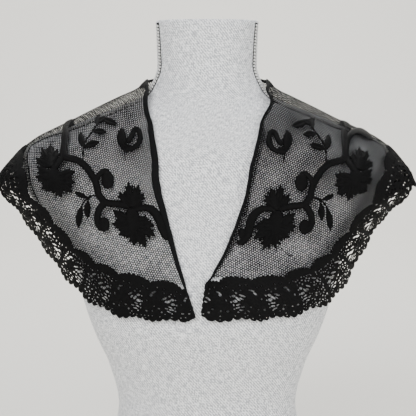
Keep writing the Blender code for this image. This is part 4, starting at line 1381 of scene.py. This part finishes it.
for side, sideName in ((-1, "Left"), (1, "Right")):
    for behind, faceName in ((False, "Front"), (True, "Back")):
        put = makePut(side, behind)
        place = faceName + sideName
        node = faceName.lower() + "_" + sideName.lower()
        sewVine(put, "vine" + place, "vine_" + node)
        sewVineEnd(put, "Back" if behind else sideName, "vineEnd" + place, "vine_end_" + node)
        for kind in flowerHeads:
            threads = looseThreads if place == "FrontRight" and kind == "Lower" else ()
            sewFlower(put, kind, "flower" + kind + place, "flower_" + kind.lower() + "_" + node, threads)
        sewSprig(put, "sprig" + place, "sprig_" + node)
    sewShoulderStem(side, sideName)
print("embroidery sewn")

# Stage, light and camera

stage = {"floorHalf": 5.0, "backAt": 3.4, "wallHigh": 4.6, "bend": 1.0}


def buildStage():
    bpy.ops.object.select_all(action="DESELECT")
    bpy.ops.mesh.primitive_plane_add(size=1.0, location=(0, 0, 0))
    floor = bpy.context.active_object
    floor.name = "paleFloor"
    half = stage["floorHalf"]
    profile = [(-5.0, 0.0), (stage["backAt"] - stage["bend"], 0.0)]
    for i in range(1, 13):
        turn = math.pi / 2 * i / 12
        profile.append((stage["backAt"] - stage["bend"] + stage["bend"] * math.sin(turn),
                        stage["bend"] * (1 - math.cos(turn))))
    profile.append((stage["backAt"], stage["wallHigh"]))
    points = []
    for y, z in profile:
        points += [(-half, y, z), (half, y, z)]
    faces = [(2 * i, 2 * i + 1, 2 * i + 3, 2 * i + 2) for i in range(len(profile) - 1)]
    floor.data.clear_geometry()
    floor.data.from_pydata(points, [], faces)
    bpy.ops.object.shade_smooth()
    material = bpy.data.materials.new("pale paper")
    material.use_nodes = True
    shader = material.node_tree.nodes["Principled BSDF"]
    shader.inputs["Base Color"].default_value = (0.8, 0.78, 0.72, 1)
    shader.inputs["Roughness"].default_value = 0.95
    floor.data.materials.append(material)
    floor.select_set(False)


def addLight(name, place, target, size, power, colour=(1, 1, 1)):
    bpy.ops.object.light_add(type="AREA", location=place)
    light = bpy.context.active_object
    light.name = name
    light.data.size = size
    light.data.energy = power
    light.data.color = colour
    light.rotation_euler = (Vector(target) - Vector(place)).to_track_quat("-Z", "Y").to_euler()
    light.select_set(False)


def addCamera():
    # seen square on from 1.5 m, looking six degrees down
    target = Vector((0.001, 0.0, 0.340))
    distance = 1.5
    down = math.radians(6)
    place = target - distance * Vector((0, math.cos(down), -math.sin(down)))
    bpy.ops.object.camera_add(location=place)
    camera = bpy.context.active_object
    camera.rotation_euler = (target - place).to_track_quat("-Z", "Y").to_euler()
    camera.data.sensor_width = 36
    camera.data.lens = 115.9
    bpy.context.scene.camera = camera
    camera.select_set(False)


buildStage()
addLight("softKey", (-0.7, -2.0, 1.5), (0, 0, 0.34), 1.3, 53)
addLight("softFill", (1.6, -1.5, 0.9), (0, 0, 0.34), 1.4, 23)
addLight("softTop", (0.2, 0.5, 1.9), (0, 0, 0.4), 1.2, 12)
addLight("wallGlow", (0, 1.7, 3.0), (0, 3.4, 0.6), 2.2, 130)
addCamera()
world = bpy.context.scene.world or bpy.data.worlds.new("pale room")
bpy.context.scene.world = world
world.use_nodes = True
world.node_tree.nodes["Background"].inputs["Color"].default_value = (0.9, 0.93, 1.0, 1)
world.node_tree.nodes["Background"].inputs["Strength"].default_value = 0.45
print("stage set")
